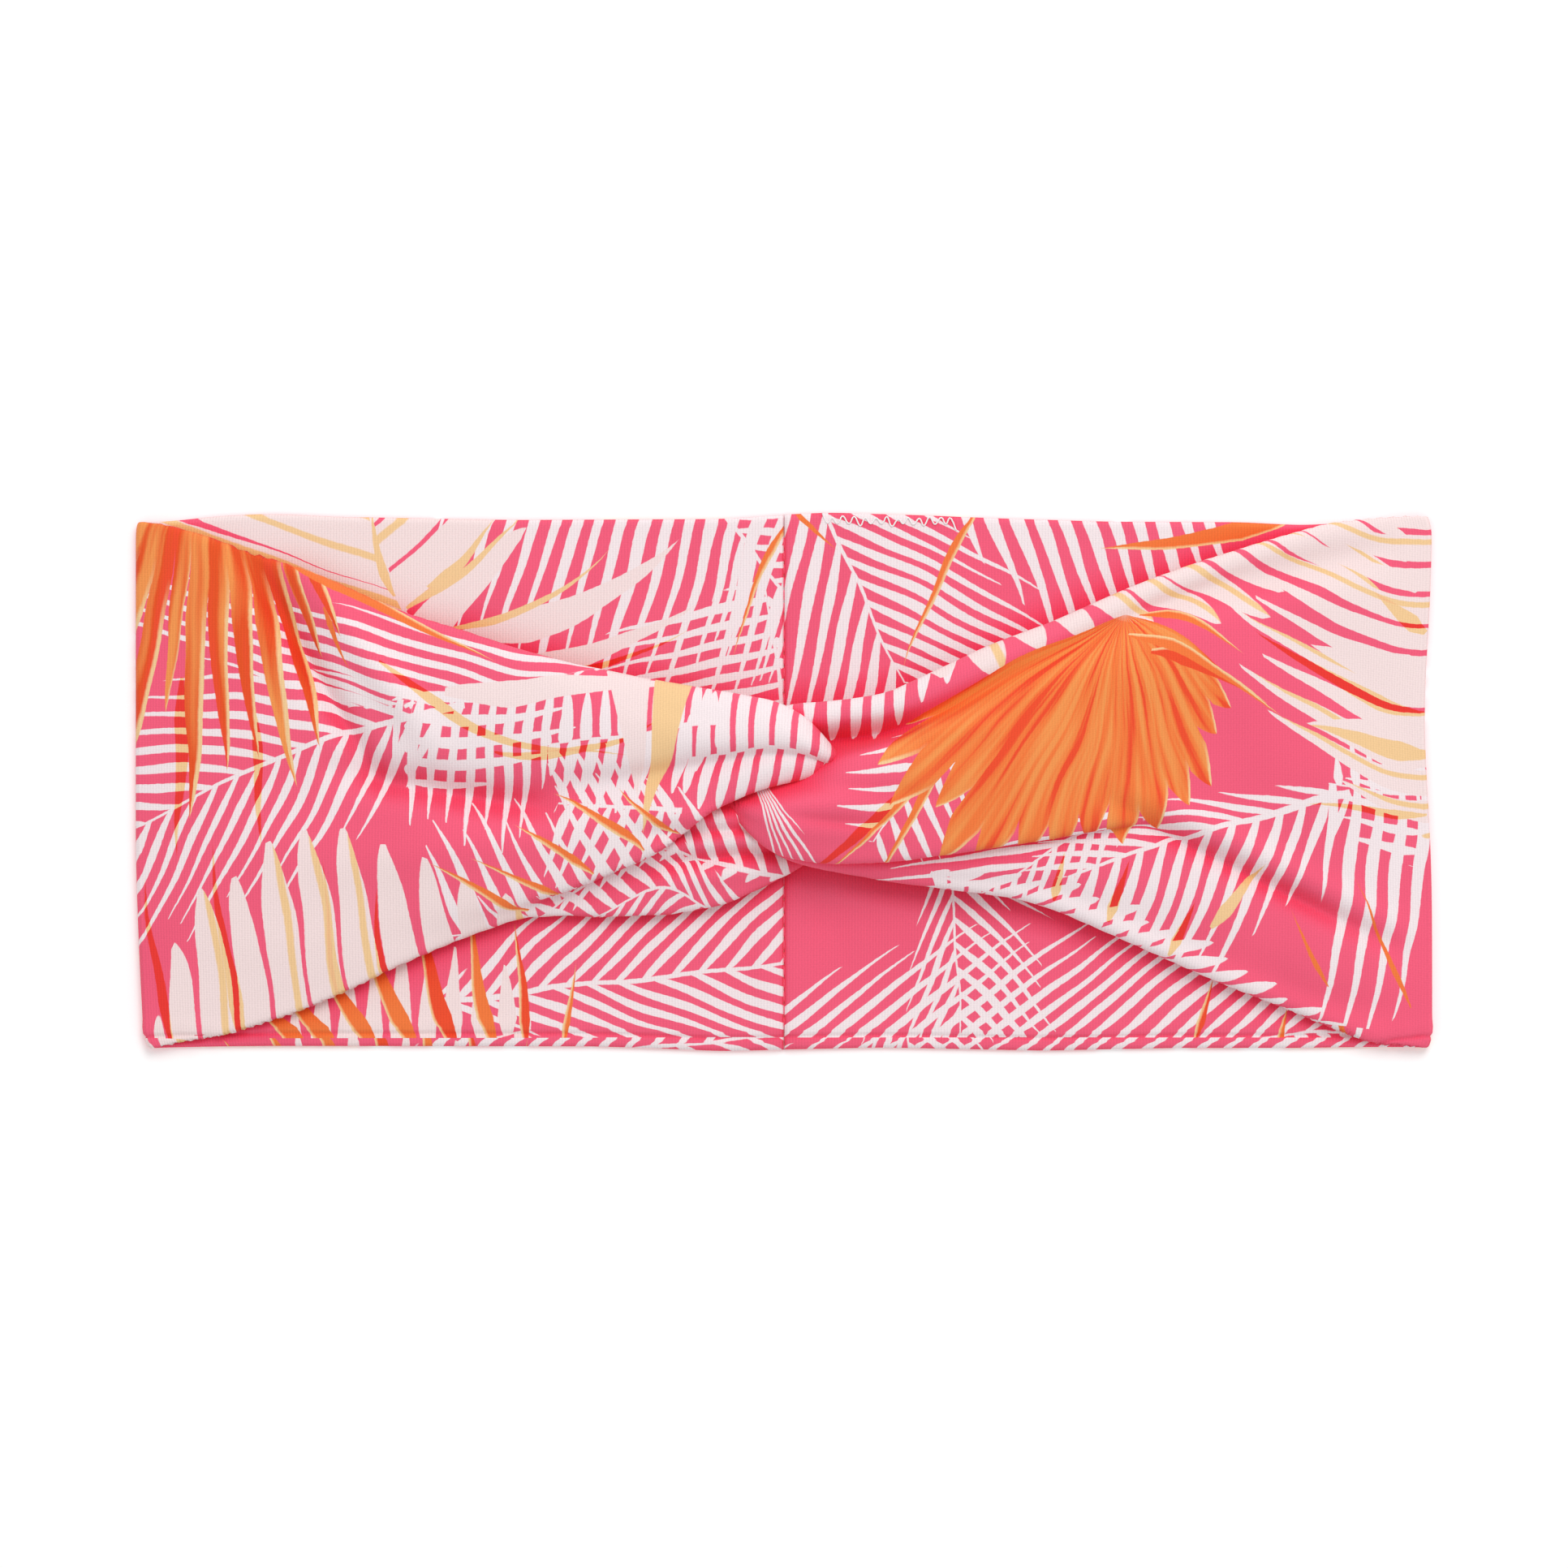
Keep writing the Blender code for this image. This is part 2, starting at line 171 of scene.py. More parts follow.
# Each line is its y at the end fold, then the x, the y and the z of its points on the way to the
# twist. A half's lines run from the edge tucked under at the top to the one at the bottom. Lines
# beside each other often have their points at the same x.
LEFT_TOP_X = (-105, -90, -75, -60, -45, -30, -15, -4, 4, 11)
LEFT_UPPER_X = (-105, -90, -75, -60, -45, -30, -15, -4, 3, 8, 11)
LEFT_UNDER_X = (-105, -90, -75, -60, -48, -40, -30, -20, -12, -4, 4, 11)
LEFT_SMALL_X = (-105, -90, -75, -60, -48, -40, -30, -19, -11, -4, 4, 11)
LEFT_BOTTOM_X = (-105, -90, -75, -60, -45, -30, -15, 0, 11)
LEFT_LINES = {
    "top_tail": (48.2, LEFT_TOP_X,
        (43.5, 34, 23, 15, 9, 5, 4, 4, 4, 2),
        (2.1, 2.3, 2.7, 3.2, 3.9, 4.8, 6, 6.5, 6, 4.5)),
    "top_under": (48.25, LEFT_TOP_X,
        (44.6, 37.5, 29, 22.5, 17, 13.5, 11.5, 11, 9, 3.5),
        (2.15, 2.3, 2.6, 3.0, 3.7, 4.8, 6.3, 7, 6.5, 4.6)),
    "top_fold": (48.3,
        (-112, -100, -86, -70, -60, -48, -40, -25, -13, -1, 5, 9, 11),
        (47.3, 43.2, 38.6, 31.3, 28.3, 24.2, 22.1, 19, 16.9, 14.6, 11, 5.5, 3.4),
        (2.5, 2.9, 3.3, 3.9, 4.4, 5.1, 5.8, 7.2, 8.4, 9.4, 9, 7.4, 5)),
    "upper_crest": (32, LEFT_UPPER_X,
        (30, 26, 21, 17.5, 14, 11.8, 11, 10.2, 8.2, 4.8, 3.1),
        (4.0, 5.4, 6.6, 8, 9.4, 10.9, 12.3, 13.2, 12.8, 10.6, 6.5)),
    "upper_slope": (16, LEFT_UPPER_X,
        (15, 12, 9, 5.5, 3.6, 4, 6, 7.6, 6.4, 3.9, 2.9),
        (4.2, 5.9, 7, 8.1, 9.1, 10.6, 11.8, 12.5, 11.8, 9.6, 6)),
    "middle_crease": (0,
        (-105, -82, -65, -49, -40, -28, -13, -2.4, 5, 9, 11),
        (-0.5, -1.6, -3, -3.1, -0.9, 0.8, 3.8, 5.6, 4.9, 3.5, 2.7),
        (4.3, 6.0, 6.3, 6.7, 7.4, 8.4, 9.6, 10.5, 10, 7.8, 5.5)),
    "lower_crest": (-17,
        (-105, -90, -75, -60, -45, -30, -20, -12, -4, 3, 8, 11),
        (-15, -13.5, -12.5, -11.5, -10, -6.5, -3.2, 0, 2.6, 3.9, 3.2, 2.5),
        (4.0, 5.5, 6.6, 7.6, 8.6, 9.8, 10.6, 11, 11.4, 10.8, 8.6, 5.3)),
    "lower_fold": (-32,
        (-105, -90, -75, -60, -48.8, -39.8, -32, -24.5, -19.3, -14.7, -9, -3.6, 4.8, 8.5, 11),
        (-30, -27, -24.5, -23.5, -22.5, -20.2, -17, -14, -10.3, -5.9, -3, -0.7, 1.2, 2.3, 2.2),
        (3.3, 4.4, 5.3, 6.1, 6.6, 7.1, 7.7, 8.3, 8.9, 9.3, 9.6, 9.8, 8.8, 6.8, 4.9)),
    "lower_under": (-35, LEFT_UNDER_X,
        (-33, -30, -27, -25, -22.5, -18, -12, -6, -2.5, 0, 1.8, 2),
        (3.1, 4.1, 4.9, 5.4, 5.4, 5.5, 6.2, 6.9, 7.4, 7.6, 6.8, 4.6)),
    "under_turn": (-37, LEFT_UNDER_X,
        (-35, -31.5, -28, -26, -23.2, -18.2, -11.5, -6, -3.5, -1.5, 0.6, 1.5),
        (3.0, 3.9, 4.7, 5, 4.7, 4.3, 4.8, 5.2, 5.5, 5.6, 5, 4)),
    "small_ridge": (-39, LEFT_SMALL_X,
        (-37, -33, -29.2, -26.7, -23.8, -20.2, -15, -10.4, -8.6, -10.4, -8, -5),
        (2.9, 3.7, 4.4, 4.6, 4.3, 4.4, 5.3, 6.6, 6.9, 6.2, 4.6, 3.6)),
    "small_valley": (-42, LEFT_SMALL_X,
        (-40, -36, -31.5, -27.6, -24.1, -22, -17.2, -13, -11.6, -12.6, -10, -6),
        (2.8, 3.5, 4, 4.2, 4, 4.1, 4.6, 4.9, 5, 4.8, 4.1, 3.4)),
    "under_crest": (-45, LEFT_UNDER_X,
        (-43, -38.6, -33, -28.3, -24.5, -23.4, -21.5, -19.5, -18.5, -16, -12.5, -8),
        (2.6, 3.2, 3.7, 3.9, 3.7, 3.9, 4.6, 5, 5.1, 4.7, 3.9, 3.2)),
    "bottom_fold": (-49.3,
        (-111, -100, -89.3, -80.3, -72.8, -60.8, -48.8, -40, -32, -20.4, -10.9, 0.2, 6, 11),
        (-47.8, -46, -42.5, -38.6, -34.7, -29.4, -24.9, -24.7, -25.1, -24.5, -22.6, -17.3, -13.5, -10),
        (2.2, 2.5, 2.8, 3, 3.2, 3.3, 3.2, 3.1, 3.2, 3.3, 3.4, 3.3, 3.1, 3)),
    "bottom_under": (-49.25, LEFT_BOTTOM_X,
        (-45.6, -38, -29, -22, -17, -15, -13, -9, -6),
        (2.05, 2.05, 2.05, 2.05, 2.05, 2.1, 2.2, 2.2, 2.2)),
    "bottom_tail": (-49.2, LEFT_BOTTOM_X,
        (-44.6, -33.5, -21, -12, -6, -3, -2, -2, -3),
        (2.05, 2.05, 2.05, 2.05, 2.05, 2.1, 2.2, 2.2, 2.2)),
}
RIGHT_TOP_X = (110, 101, 89, 77, 65, 50, 38, 27, 18, 9, 0, -11)
RIGHT_ROLL_X = (110, 101, 89, 77, 65, 50, 38, 27.6, 18.6, 9, 1.3, -6, -11)
RIGHT_UPPER_X = (105, 90, 75, 60, 45, 30, 18, 8, 0, -5, -9, -11)
RIGHT_HEM_X = (108, 101, 95, 80, 65, 50, 42, 20, 8, 0, -5, -11)
RIGHT_BOTTOM_X = (108, 95, 80, 65, 50, 35, 20, 8, 0, -5, -11)
RIGHT_LINES = {
    "top_tail": (49.2, RIGHT_TOP_X,
        (47.5, 43, 35, 27.5, 21.5, 16, 12, 9, 7.5, 6.5, 6, 4),
        (2.05, 2.05, 2.1, 2.3, 2.6, 3.1, 3.5, 3.8, 4, 4, 3.9, 3.8)),
    "top_under": (49.3, RIGHT_TOP_X,
        (48.4, 46, 40.5, 35, 30, 23.5, 19, 15, 12.5, 11.5, 11, 7),
        (2.05, 2.1, 2.2, 2.5, 2.8, 3.4, 3.9, 4.4, 4.7, 4.6, 4.4, 4.2)),
    "top_fold": (49.4, RIGHT_ROLL_X,
        (49.2, 48.2, 44.7, 40.9, 36.5, 29.7, 25.2, 20.2, 16, 14.7, 14.2, 12, 9),
        (2.3, 2.6, 3.1, 3.5, 4, 4.8, 5.6, 6.4, 6.8, 6.6, 6.2, 5.6, 5)),
    "roll_crest": (45.5, RIGHT_ROLL_X,
        (46.4, 46.2, 42.4, 38.3, 33.7, 26.9, 21.8, 16.5, 12.7, 11.6, 11.4, 9.5, 7),
        (3, 3.8, 4.9, 5.8, 6.5, 7.5, 8.4, 9, 9, 8.5, 7.8, 6.8, 6)),
    "roll_crease": (42,
        (110, 101, 92, 86, 75.5, 65, 54.5, 42.5, 32.1, 23.1, 14.1, 6, 0, -6, -11),
        (43, 43.8, 41.6, 39.9, 36, 31.2, 26, 19.9, 14.2, 10, 7.4, 7.6, 7.6, 6.4, 5),
        (3.2, 3.7, 4.1, 4.4, 4.9, 5.4, 6, 6.7, 7, 6.6, 5.6, 5.3, 5.2, 5, 4.8)),
    "upper_shoulder": (34,
        (110, 101, 92, 86, 75.5, 65, 54.5, 42.5, 32.1, 23.1, 14.1, 9.6, 6, 0, -6, -11),
        (36, 38.6, 37.4, 35.8, 31.6, 26.8, 21.6, 15.6, 10.6, 7.2, 4.4, 3.2, 1.6, -0.9, -2.6, -3.2),
        (3.7, 4.6, 5.4, 6, 6.9, 7.8, 8.8, 9.9, 10.9, 11.3, 10.6, 9.8, 8.8, 8.2, 7.4, 5.4)),
    "upper_crest": (18, RIGHT_UPPER_X,
        (20, 20, 17, 13, 8, 2.5, -1, -4, -6, -5.5, -4, -3.4),
        (4.4, 6.4, 7.9, 9.5, 11.2, 12.5, 13, 13.2, 12.6, 10.8, 7.8, 5.6)),
    "middle": (0, RIGHT_UPPER_X,
        (2, 3, 3, 0.5, -2.6, -6, -8, -9.5, -9.6, -7.4, -4.6, -3.6),
        (4.5, 6.3, 7.6, 9.2, 10.8, 12, 12.3, 12.3, 11.8, 10, 7.2, 5.3)),
    "pleat_lip": (-31,
        (108, 98, 89, 78, 69.5, 65, 50, 35, 20, 8, 0, -3.1, -6.9, -9.1, -11),
        (-26.5, -21.9, -17.4, -11.8, -7.6, -7.4, -10.3, -12.5, -14.5, -14.9, -13.6, -12.1, -8.7, -4.9, -3.9),
        (3.6, 4.5, 5.4, 6.6, 7.6, 8, 9.2, 10.2, 10.5, 10.3, 9.6, 9, 8.2, 6.8, 5)),
    "pleat_under": (-32.5,
        (108, 98, 89, 78, 69.5, 65, 50, 35, 20, 8, 0, -3, -7, -9.1, -11),
        (-28, -23.2, -18.8, -12.9, -8.4, -7, -8.8, -10.8, -12.6, -13, -11.6, -10.5, -8, -5, -4),
        (3.5, 4.4, 5.1, 5.9, 6.3, 6.4, 7.3, 8.1, 8.6, 8.8, 8.3, 7.7, 6.9, 5.8, 4.8)),
    "lower_facet": (-38,
        (108, 98, 89, 78, 69.5, 60, 50, 35, 20, 8, 0, -5, -9, -11),
        (-36, -33, -29, -23.5, -19.5, -17.6, -16.2, -16, -15.8, -14.8, -13, -10, -5.6, -4.5),
        (3.4, 4.4, 5, 5.6, 6.1, 6.5, 7, 7.7, 8, 8.2, 8, 7, 5.5, 4.6)),
    "hem_crease": (-44.5, RIGHT_HEM_X,
        (-43.8, -41.8, -39.2, -33.3, -26.7, -20.6, -18.8, -17, -15.5, -13.7, -10.5, -4.8),
        (2.8, 3.2, 3.5, 4.1, 4.7, 5.5, 6, 6.9, 7.5, 7.5, 6.7, 4.5)),
    "hem_crest": (-47, RIGHT_HEM_X,
        (-46.4, -44.1, -41.2, -35.2, -28.5, -22, -20, -17.6, -15.8, -13.9, -10.8, -4.9),
        (2.9, 3.7, 4.2, 4.9, 5.5, 6.1, 6.4, 6.9, 7.2, 7.3, 6.5, 4.4)),
    "bottom_fold": (-49.2,
        (108.5, 101, 95, 80, 65, 50, 42.5, 20.1, 5.1, -0.1, -3, -7, -11),
        (-48.1, -45.6, -42.8, -36.9, -30.1, -23.4, -21.2, -18.2, -15.5, -13.9, -12.1, -8.8, -5),
        (2.3, 2.7, 2.9, 3.4, 4, 4.7, 5.1, 5.9, 6.8, 7, 6.8, 6.2, 4.3)),
    "bottom_under": (-49.15, RIGHT_BOTTOM_X,
        (-46.6, -37.5, -29, -21, -13.5, -10, -9, -8, -8, -7, -4),
        (2.05, 2.05, 2.05, 2.1, 2.2, 2.8, 4.2, 5.6, 6.4, 6, 4.1)),
    "bottom_tail": (-49.1, RIGHT_BOTTOM_X,
        (-45.6, -31.5, -19, -9, -2, 0, 0, -1, -3, -4, -3.9),
        (2.05, 2.05, 2.05, 2.1, 2.1, 2.4, 3.6, 5, 5.8, 5.6, 4)),
}


def smoothed(values, passes):
    """Evens out values along the first axis and keeps both ends where they are."""
    for _ in range(passes):
        before = 2 * values[:1] - values[1:2]
        after = 2 * values[-1:] - values[-2:-1]
        padded = np.concatenate([before, values, after])
        values = (padded[:-2] + 2 * padded[1:-1] + padded[2:]) / 4
    return values


def bell(offset, width):
    """1 at no offset, falling smoothly to 0 on both sides."""
    return np.exp(-((offset / width) ** 2))


def side_of(lines):
    """-1 for the left half's lines and 1 for the right half's, which end past the centre."""
    return -np.sign(lines["top_fold"][1][-1])


def across_stations():
    """Distances across a flat tube, closer together at its two edges and at its long seam."""
    inner = np.linspace(0, TUBE_WIDTH, round(TUBE_WIDTH / STEP) + 1)[1:-1]
    seam = TUBE_WIDTH - SEAM_INSET
    inner = inner[np.abs(inner - seam) > 1.2 * SEAM_STEPS[-1]]
    edge = np.array(EDGE_STEPS)
    return np.sort(np.concatenate([edge, inner, seam + np.array(SEAM_STEPS), TUBE_WIDTH - edge]))


def curve_through(points, steps=10):
    """A smooth curve through the points of one section, with each point's index on it."""
    chord = np.sqrt(np.linalg.norm(np.diff(points, axis=0), axis=1)) + 1e-6
    knots = np.concatenate([[0], np.cumsum(chord)])
    slope = np.gradient(points, knots, axis=0)
    t = np.linspace(0, 1, steps, endpoint=False)[:, None]
    found = []
    for i, length in enumerate(chord):
        a, b = points[i], points[i + 1]
        ta, tb = slope[i] * length, slope[i + 1] * length
        found.append(
            (2 * t**3 - 3 * t**2 + 1) * a + (t**3 - 2 * t**2 + t) * ta
            + (3 * t**2 - 2 * t**3) * b + (t**3 - t**2) * tb
        )
    found.append(points[-1:])
    return np.concatenate(found), steps


def front_sections(lines, reference):
    """The front of one half: places on the cloth's middle surface, and how far across they lie."""
    side = side_of(lines)
    last_x = abs(lines[reference][1][-1])
    xs = np.arange(FOLD_X, -last_x, -STEP) * side
    share = across_stations() / TUBE_WIDTH
    rails = []
    for fold_y, line_x, line_y, line_z in lines.values():
        along = -side * np.array([side * FOLD_X, *line_x])
        y = np.interp(-side * xs, along, (fold_y, *line_y))
        z = np.interp(-side * xs, along, (FOLD_Z, *line_z))
        rails.append(smoothed(np.stack([y, z], axis=1), LINE_SMOOTHING))
    rails = np.stack(rails, axis=1)
    middle = list(lines).index(reference)
    places, across = [], []
    for x, points in zip(xs, rails):
        curve, steps = curve_through(points)
        run = np.concatenate([[0], np.cumsum(np.linalg.norm(np.diff(curve, axis=0), axis=1))])
        at = share * run[-1]
        y = np.interp(at, run, curve[:, 0])
        z = np.interp(at, run, curve[:, 1])
        places.append(np.stack([np.full_like(y, x), y, z], axis=1))
        across.append(run[middle * steps] - at)
    return np.array(places), np.array(across)


def half_surface(lines, reference):
    """Middle surface of one half, from the centre back round the end fold to the twist."""
    side = side_of(lines)
    front, front_across = front_sections(lines, reference)
    share = across_stations() / TUBE_WIDTH
    rows, across = [], []
    xs = np.concatenate([CENTRE_STEPS, np.arange(1, FOLD_X - 0.3, STEP)])
    top, bottom = (smoothed(np.interp(side * xs, *np.transpose(edge)), LINE_SMOOTHING)
                   for edge in (TOP_EDGE, BOTTOM_EDGE))
    for x, high, low in zip(xs, top, bottom):
        toward_fold = max(0, (x - BLEND_START) / (FOLD_X - BLEND_START)) ** 2
        y_back = high + (low - high) * share
        y = y_back + (front[0, :, 1] - y_back) * toward_fold
        rows.append(np.stack([np.full_like(y, side * x), y, np.full_like(y, BACK_Z)], axis=1))
        across.append(y)
    radius = (FRONT_Z - BACK_Z) / 2
    for angle in np.linspace(0, math.pi, FOLD_STEPS + 1)[:-1]:
        x = FOLD_X + radius * math.sin(angle)
        z = BACK_Z + radius * (1 - math.cos(angle))
        y = front[0, :, 1]
        rows.append(np.stack([np.full_like(y, side * x), y, np.full_like(y, z)], axis=1))
        across.append(y)
    surface = np.concatenate([np.array(rows), front])
    across = np.concatenate([np.array(across), front_across])
    fold_row = len(xs) + FOLD_STEPS // 2
    centre = surface[:, surface.shape[1] // 2]
    level, rise = np.abs(np.diff(centre[:, ::2], axis=0)).T
    run = np.concatenate([[0], np.cumsum(level + 0.3 * rise)])
    along = run - run[fold_row]
    wrinkle(surface, len(xs), side)
    return surface, across, along, side


def wrinkle(surface, back_rows, side):
    """Adds the small folds, and draws the end fold in where the cloth pulls on it."""
    x, y = surface[..., 0], surface[..., 1]
    back_folds = LEFT_BACK_FOLDS if side < 0 else RIGHT_BACK_FOLDS
    front_folds = LEFT_FRONT_FOLDS if side < 0 else RIGHT_FRONT_FOLDS
    back, front = surface[:back_rows], surface[back_rows:]
    for part, folds, lowest in ((back, back_folds, 0.0), (front, front_folds, LOWEST_FOLD)):
        for x0, y0, x1, y1, width, height in folds:
            run = np.array([x1 - x0, y1 - y0], float)
            length = np.linalg.norm(run)
            along = ((part[..., 0] - x0) * run[0] + (part[..., 1] - y0) * run[1]) / length
            off = ((part[..., 1] - y0) * run[0] - (part[..., 0] - x0) * run[1]) / length
            share = np.clip(along / length, 0, 1)
            swell = np.sin(math.pi * share) ** 0.7
            rise = height * swell * bell(off, width)
            part[..., 2] += np.maximum(rise, np.minimum(lowest - part[..., 2], 0))
    if side < 0:
        depth, start, distance = LEFT_PULL
        pull = depth * np.clip((start - y) / distance, 0, 1) ** 1.5
    else:
        depth, peak, distance = RIGHT_PULL
        pull = depth * bell(y - peak, distance)
    depth, start, distance = CORNER_PULL
    corner = depth * np.clip((np.abs(y) - start) / distance, 0, 1) ** 2
    x -= side * (pull + corner) * (np.abs(x) / FOLD_X) ** 8


def seam_relief(along, stations):
    """How far the tube's faces stand out or sink at its seams, over their allowances."""
    off = stations - (TUBE_WIDTH - SEAM_INSET)
    groove, allowance, pucker = (height * bell(off - middle, width) for height, width, middle in
                                 (SEAM_GROOVE, SEAM_ALLOWANCE, SEAM_PUCKER))
    drift, drift_wave = PUCKER_DRIFT
    wave = np.sin(along * PUCKER_WAVE + drift * np.sin(along * drift_wave))
    from_centre = along - along[0]
    height, width = CENTRE_RIDGE
    ridge = height * bell(from_centre, width) * (1 - bell(from_centre, CENTRE_GROOVE_WIDTH))
    return ridge[:, None] + groove + allowance + wave[:, None] * pucker


def normals_of(surface):
    along = np.gradient(surface, axis=0)
    across = np.gradient(surface, axis=1)
    normal = np.cross(along, across)
    return normal / (np.linalg.norm(normal, axis=2, keepdims=True) + 1e-12)


def edge_profile(positions, radius):
    """1 inside a sheet, falling on a round to 0 at both of its edges."""
    distance = np.minimum(positions - positions[0], positions[-1] - positions)
    near = np.clip(distance / radius, 0, 1)
    return np.sqrt(1 - (1 - near) ** 2)


def tube_mesh(name, lines, reference):
    """One half of the band as a closed flat tube, with its print coordinates in the UV map."""
    surface, across, along, side = half_surface(lines, reference)
    for _ in range(FACE_SMOOTHING):
        surface[:, 1:-1] = (surface[:, :-2] + 2 * surface[:, 1:-1] + surface[:, 2:]) / 4
    normal = normals_of(surface) * -side
    stations = across_stations()
    height = CLOTH_HALF_THICKNESS + seam_relief(along, stations)
    height *= edge_profile(stations, EDGE_ROUND)[None, :] * edge_profile(along, END_ROUND)[:, None]
    outer = surface - normal * height[..., None]
    inner = surface + normal * height[..., None]
    rows, columns = height.shape
    outer_index = np.arange(rows * columns).reshape(rows, columns)
    inner_index = outer_index.copy()
    inside = (rows - 2) * (columns - 2)
    inner_index[1:-1, 1:-1] = rows * columns + np.arange(inside).reshape(rows - 2, columns - 2)
    points = np.concatenate([outer.reshape(-1, 3), inner[1:-1, 1:-1].reshape(-1, 3)])
    points[:, 2] = np.maximum(points[:, 2], 0)
    points *= MM
    faces, coordinates = [], []
    for index, flip, direction in ((outer_index, side > 0, -1), (inner_index, side < 0, 1)):
        corner = (index[:-1, :-1], index[1:, :-1], index[1:, 1:], index[:-1, 1:])
        u = np.repeat((side * (BAND_HALF_LENGTH + direction * along))[:, None], columns, axis=1)
        place = np.stack([u, across], axis=2)
        corner_place = (place[:-1, :-1], place[1:, :-1], place[1:, 1:], place[:-1, 1:])
        order = (0, 3, 2, 1) if flip else (0, 1, 2, 3)
        faces.append(np.stack([corner[i] for i in order], axis=-1).reshape(-1, 4))
        coordinates.append(np.stack([corner_place[i] for i in order], axis=2).reshape(-1, 2))
    faces = np.concatenate(faces)
    mesh = bpy.data.meshes.new(name)
    mesh.from_pydata(points.tolist(), [], faces.tolist())
    mesh.polygons.foreach_set("use_smooth", np.ones(len(faces), bool))
    half = len(faces) // 2
    under = np.abs(coordinates[0][::4, 0]) > BAND_HALF_LENGTH
    slots = np.concatenate([2 * under, np.ones(half)]).astype(np.int32)
    mesh.polygons.foreach_set("material_index", slots)
    uv = mesh.uv_layers.new(name="print")
    uv.data.foreach_set("uv", np.concatenate(coordinates).astype(np.float32).reshape(-1))
    mesh.update()
    return mesh


def add_piece(name, data, replaced):
    piece = add_object(name, data)
    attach(piece, "root")
    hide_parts(*replaced)
    return piece


# ---------------------------------------------------------------- the print
PINK = (0.975, 0.122, 0.222)
WHITE = (0.975, 0.85, 0.87)
PALE = (0.975, 0.79, 0.78)
PEACH = (0.965, 0.64, 0.33)
ORANGE = (0.965, 0.212, 0.052)
TANGERINE = (0.965, 0.33, 0.09)
FLAME = (0.93, 0.085, 0.030)
DEEP_ORANGE = (0.86, 0.095, 0.020)
RED = (0.91, 0.045, 0.035)
BLEACHED = (1.0, 0.97, 0.97)
INK_EDGE = 0.13
SMALLEST = 1e-4

# Pairs are a slope and a start: of a size against a share or chance, or of a ramp of ink.
LEAFLET_STAGGER = 0.45
LEAFLET_SWELL = 0.4
LEAFLET_REACH_START = 0.8
LEAFLET_OPENING = 2.2
LEAFLET_HALF_WIDTH = (0.12, 0.40)
LEAFLET_TIP = 0.04
LEAFLET_END = 0.985
RIB_TAPER = (0.7, 0.3)
STRIPE_MIDDLE = 0.2
STRIPE = (-26.0, 2.9)
STRIPED_SHARE = 0.5
FAN_CROWN = 0.5
FAN_REACH = (0.25, 0.78)
FAN_TAPER = 0.8
FAN_JOINT = 0.04
FAN_EDGE_SLOPE = -2.2
FAN_EDGE_START = (1.6, 0.9)
EDGE_FADE = 8.0
STREAKS_PER_RADIAN = 13.0
STREAK_STRETCH = 1.3
LIGHT_STREAKS = (5.0, -2.3)
DARK_STREAKS = (-9.0, 3.9)
BLADE_ROOT = (3.0, 0.25)
BLADE_TIP = 1.5
BLADE_TRIM = 0.06
THIN_BLADE = 1.5
BLADE_LIT_EDGE = (-2.5, 1.5)
GLAZE_ON_PALE = (3.0, -1.2)


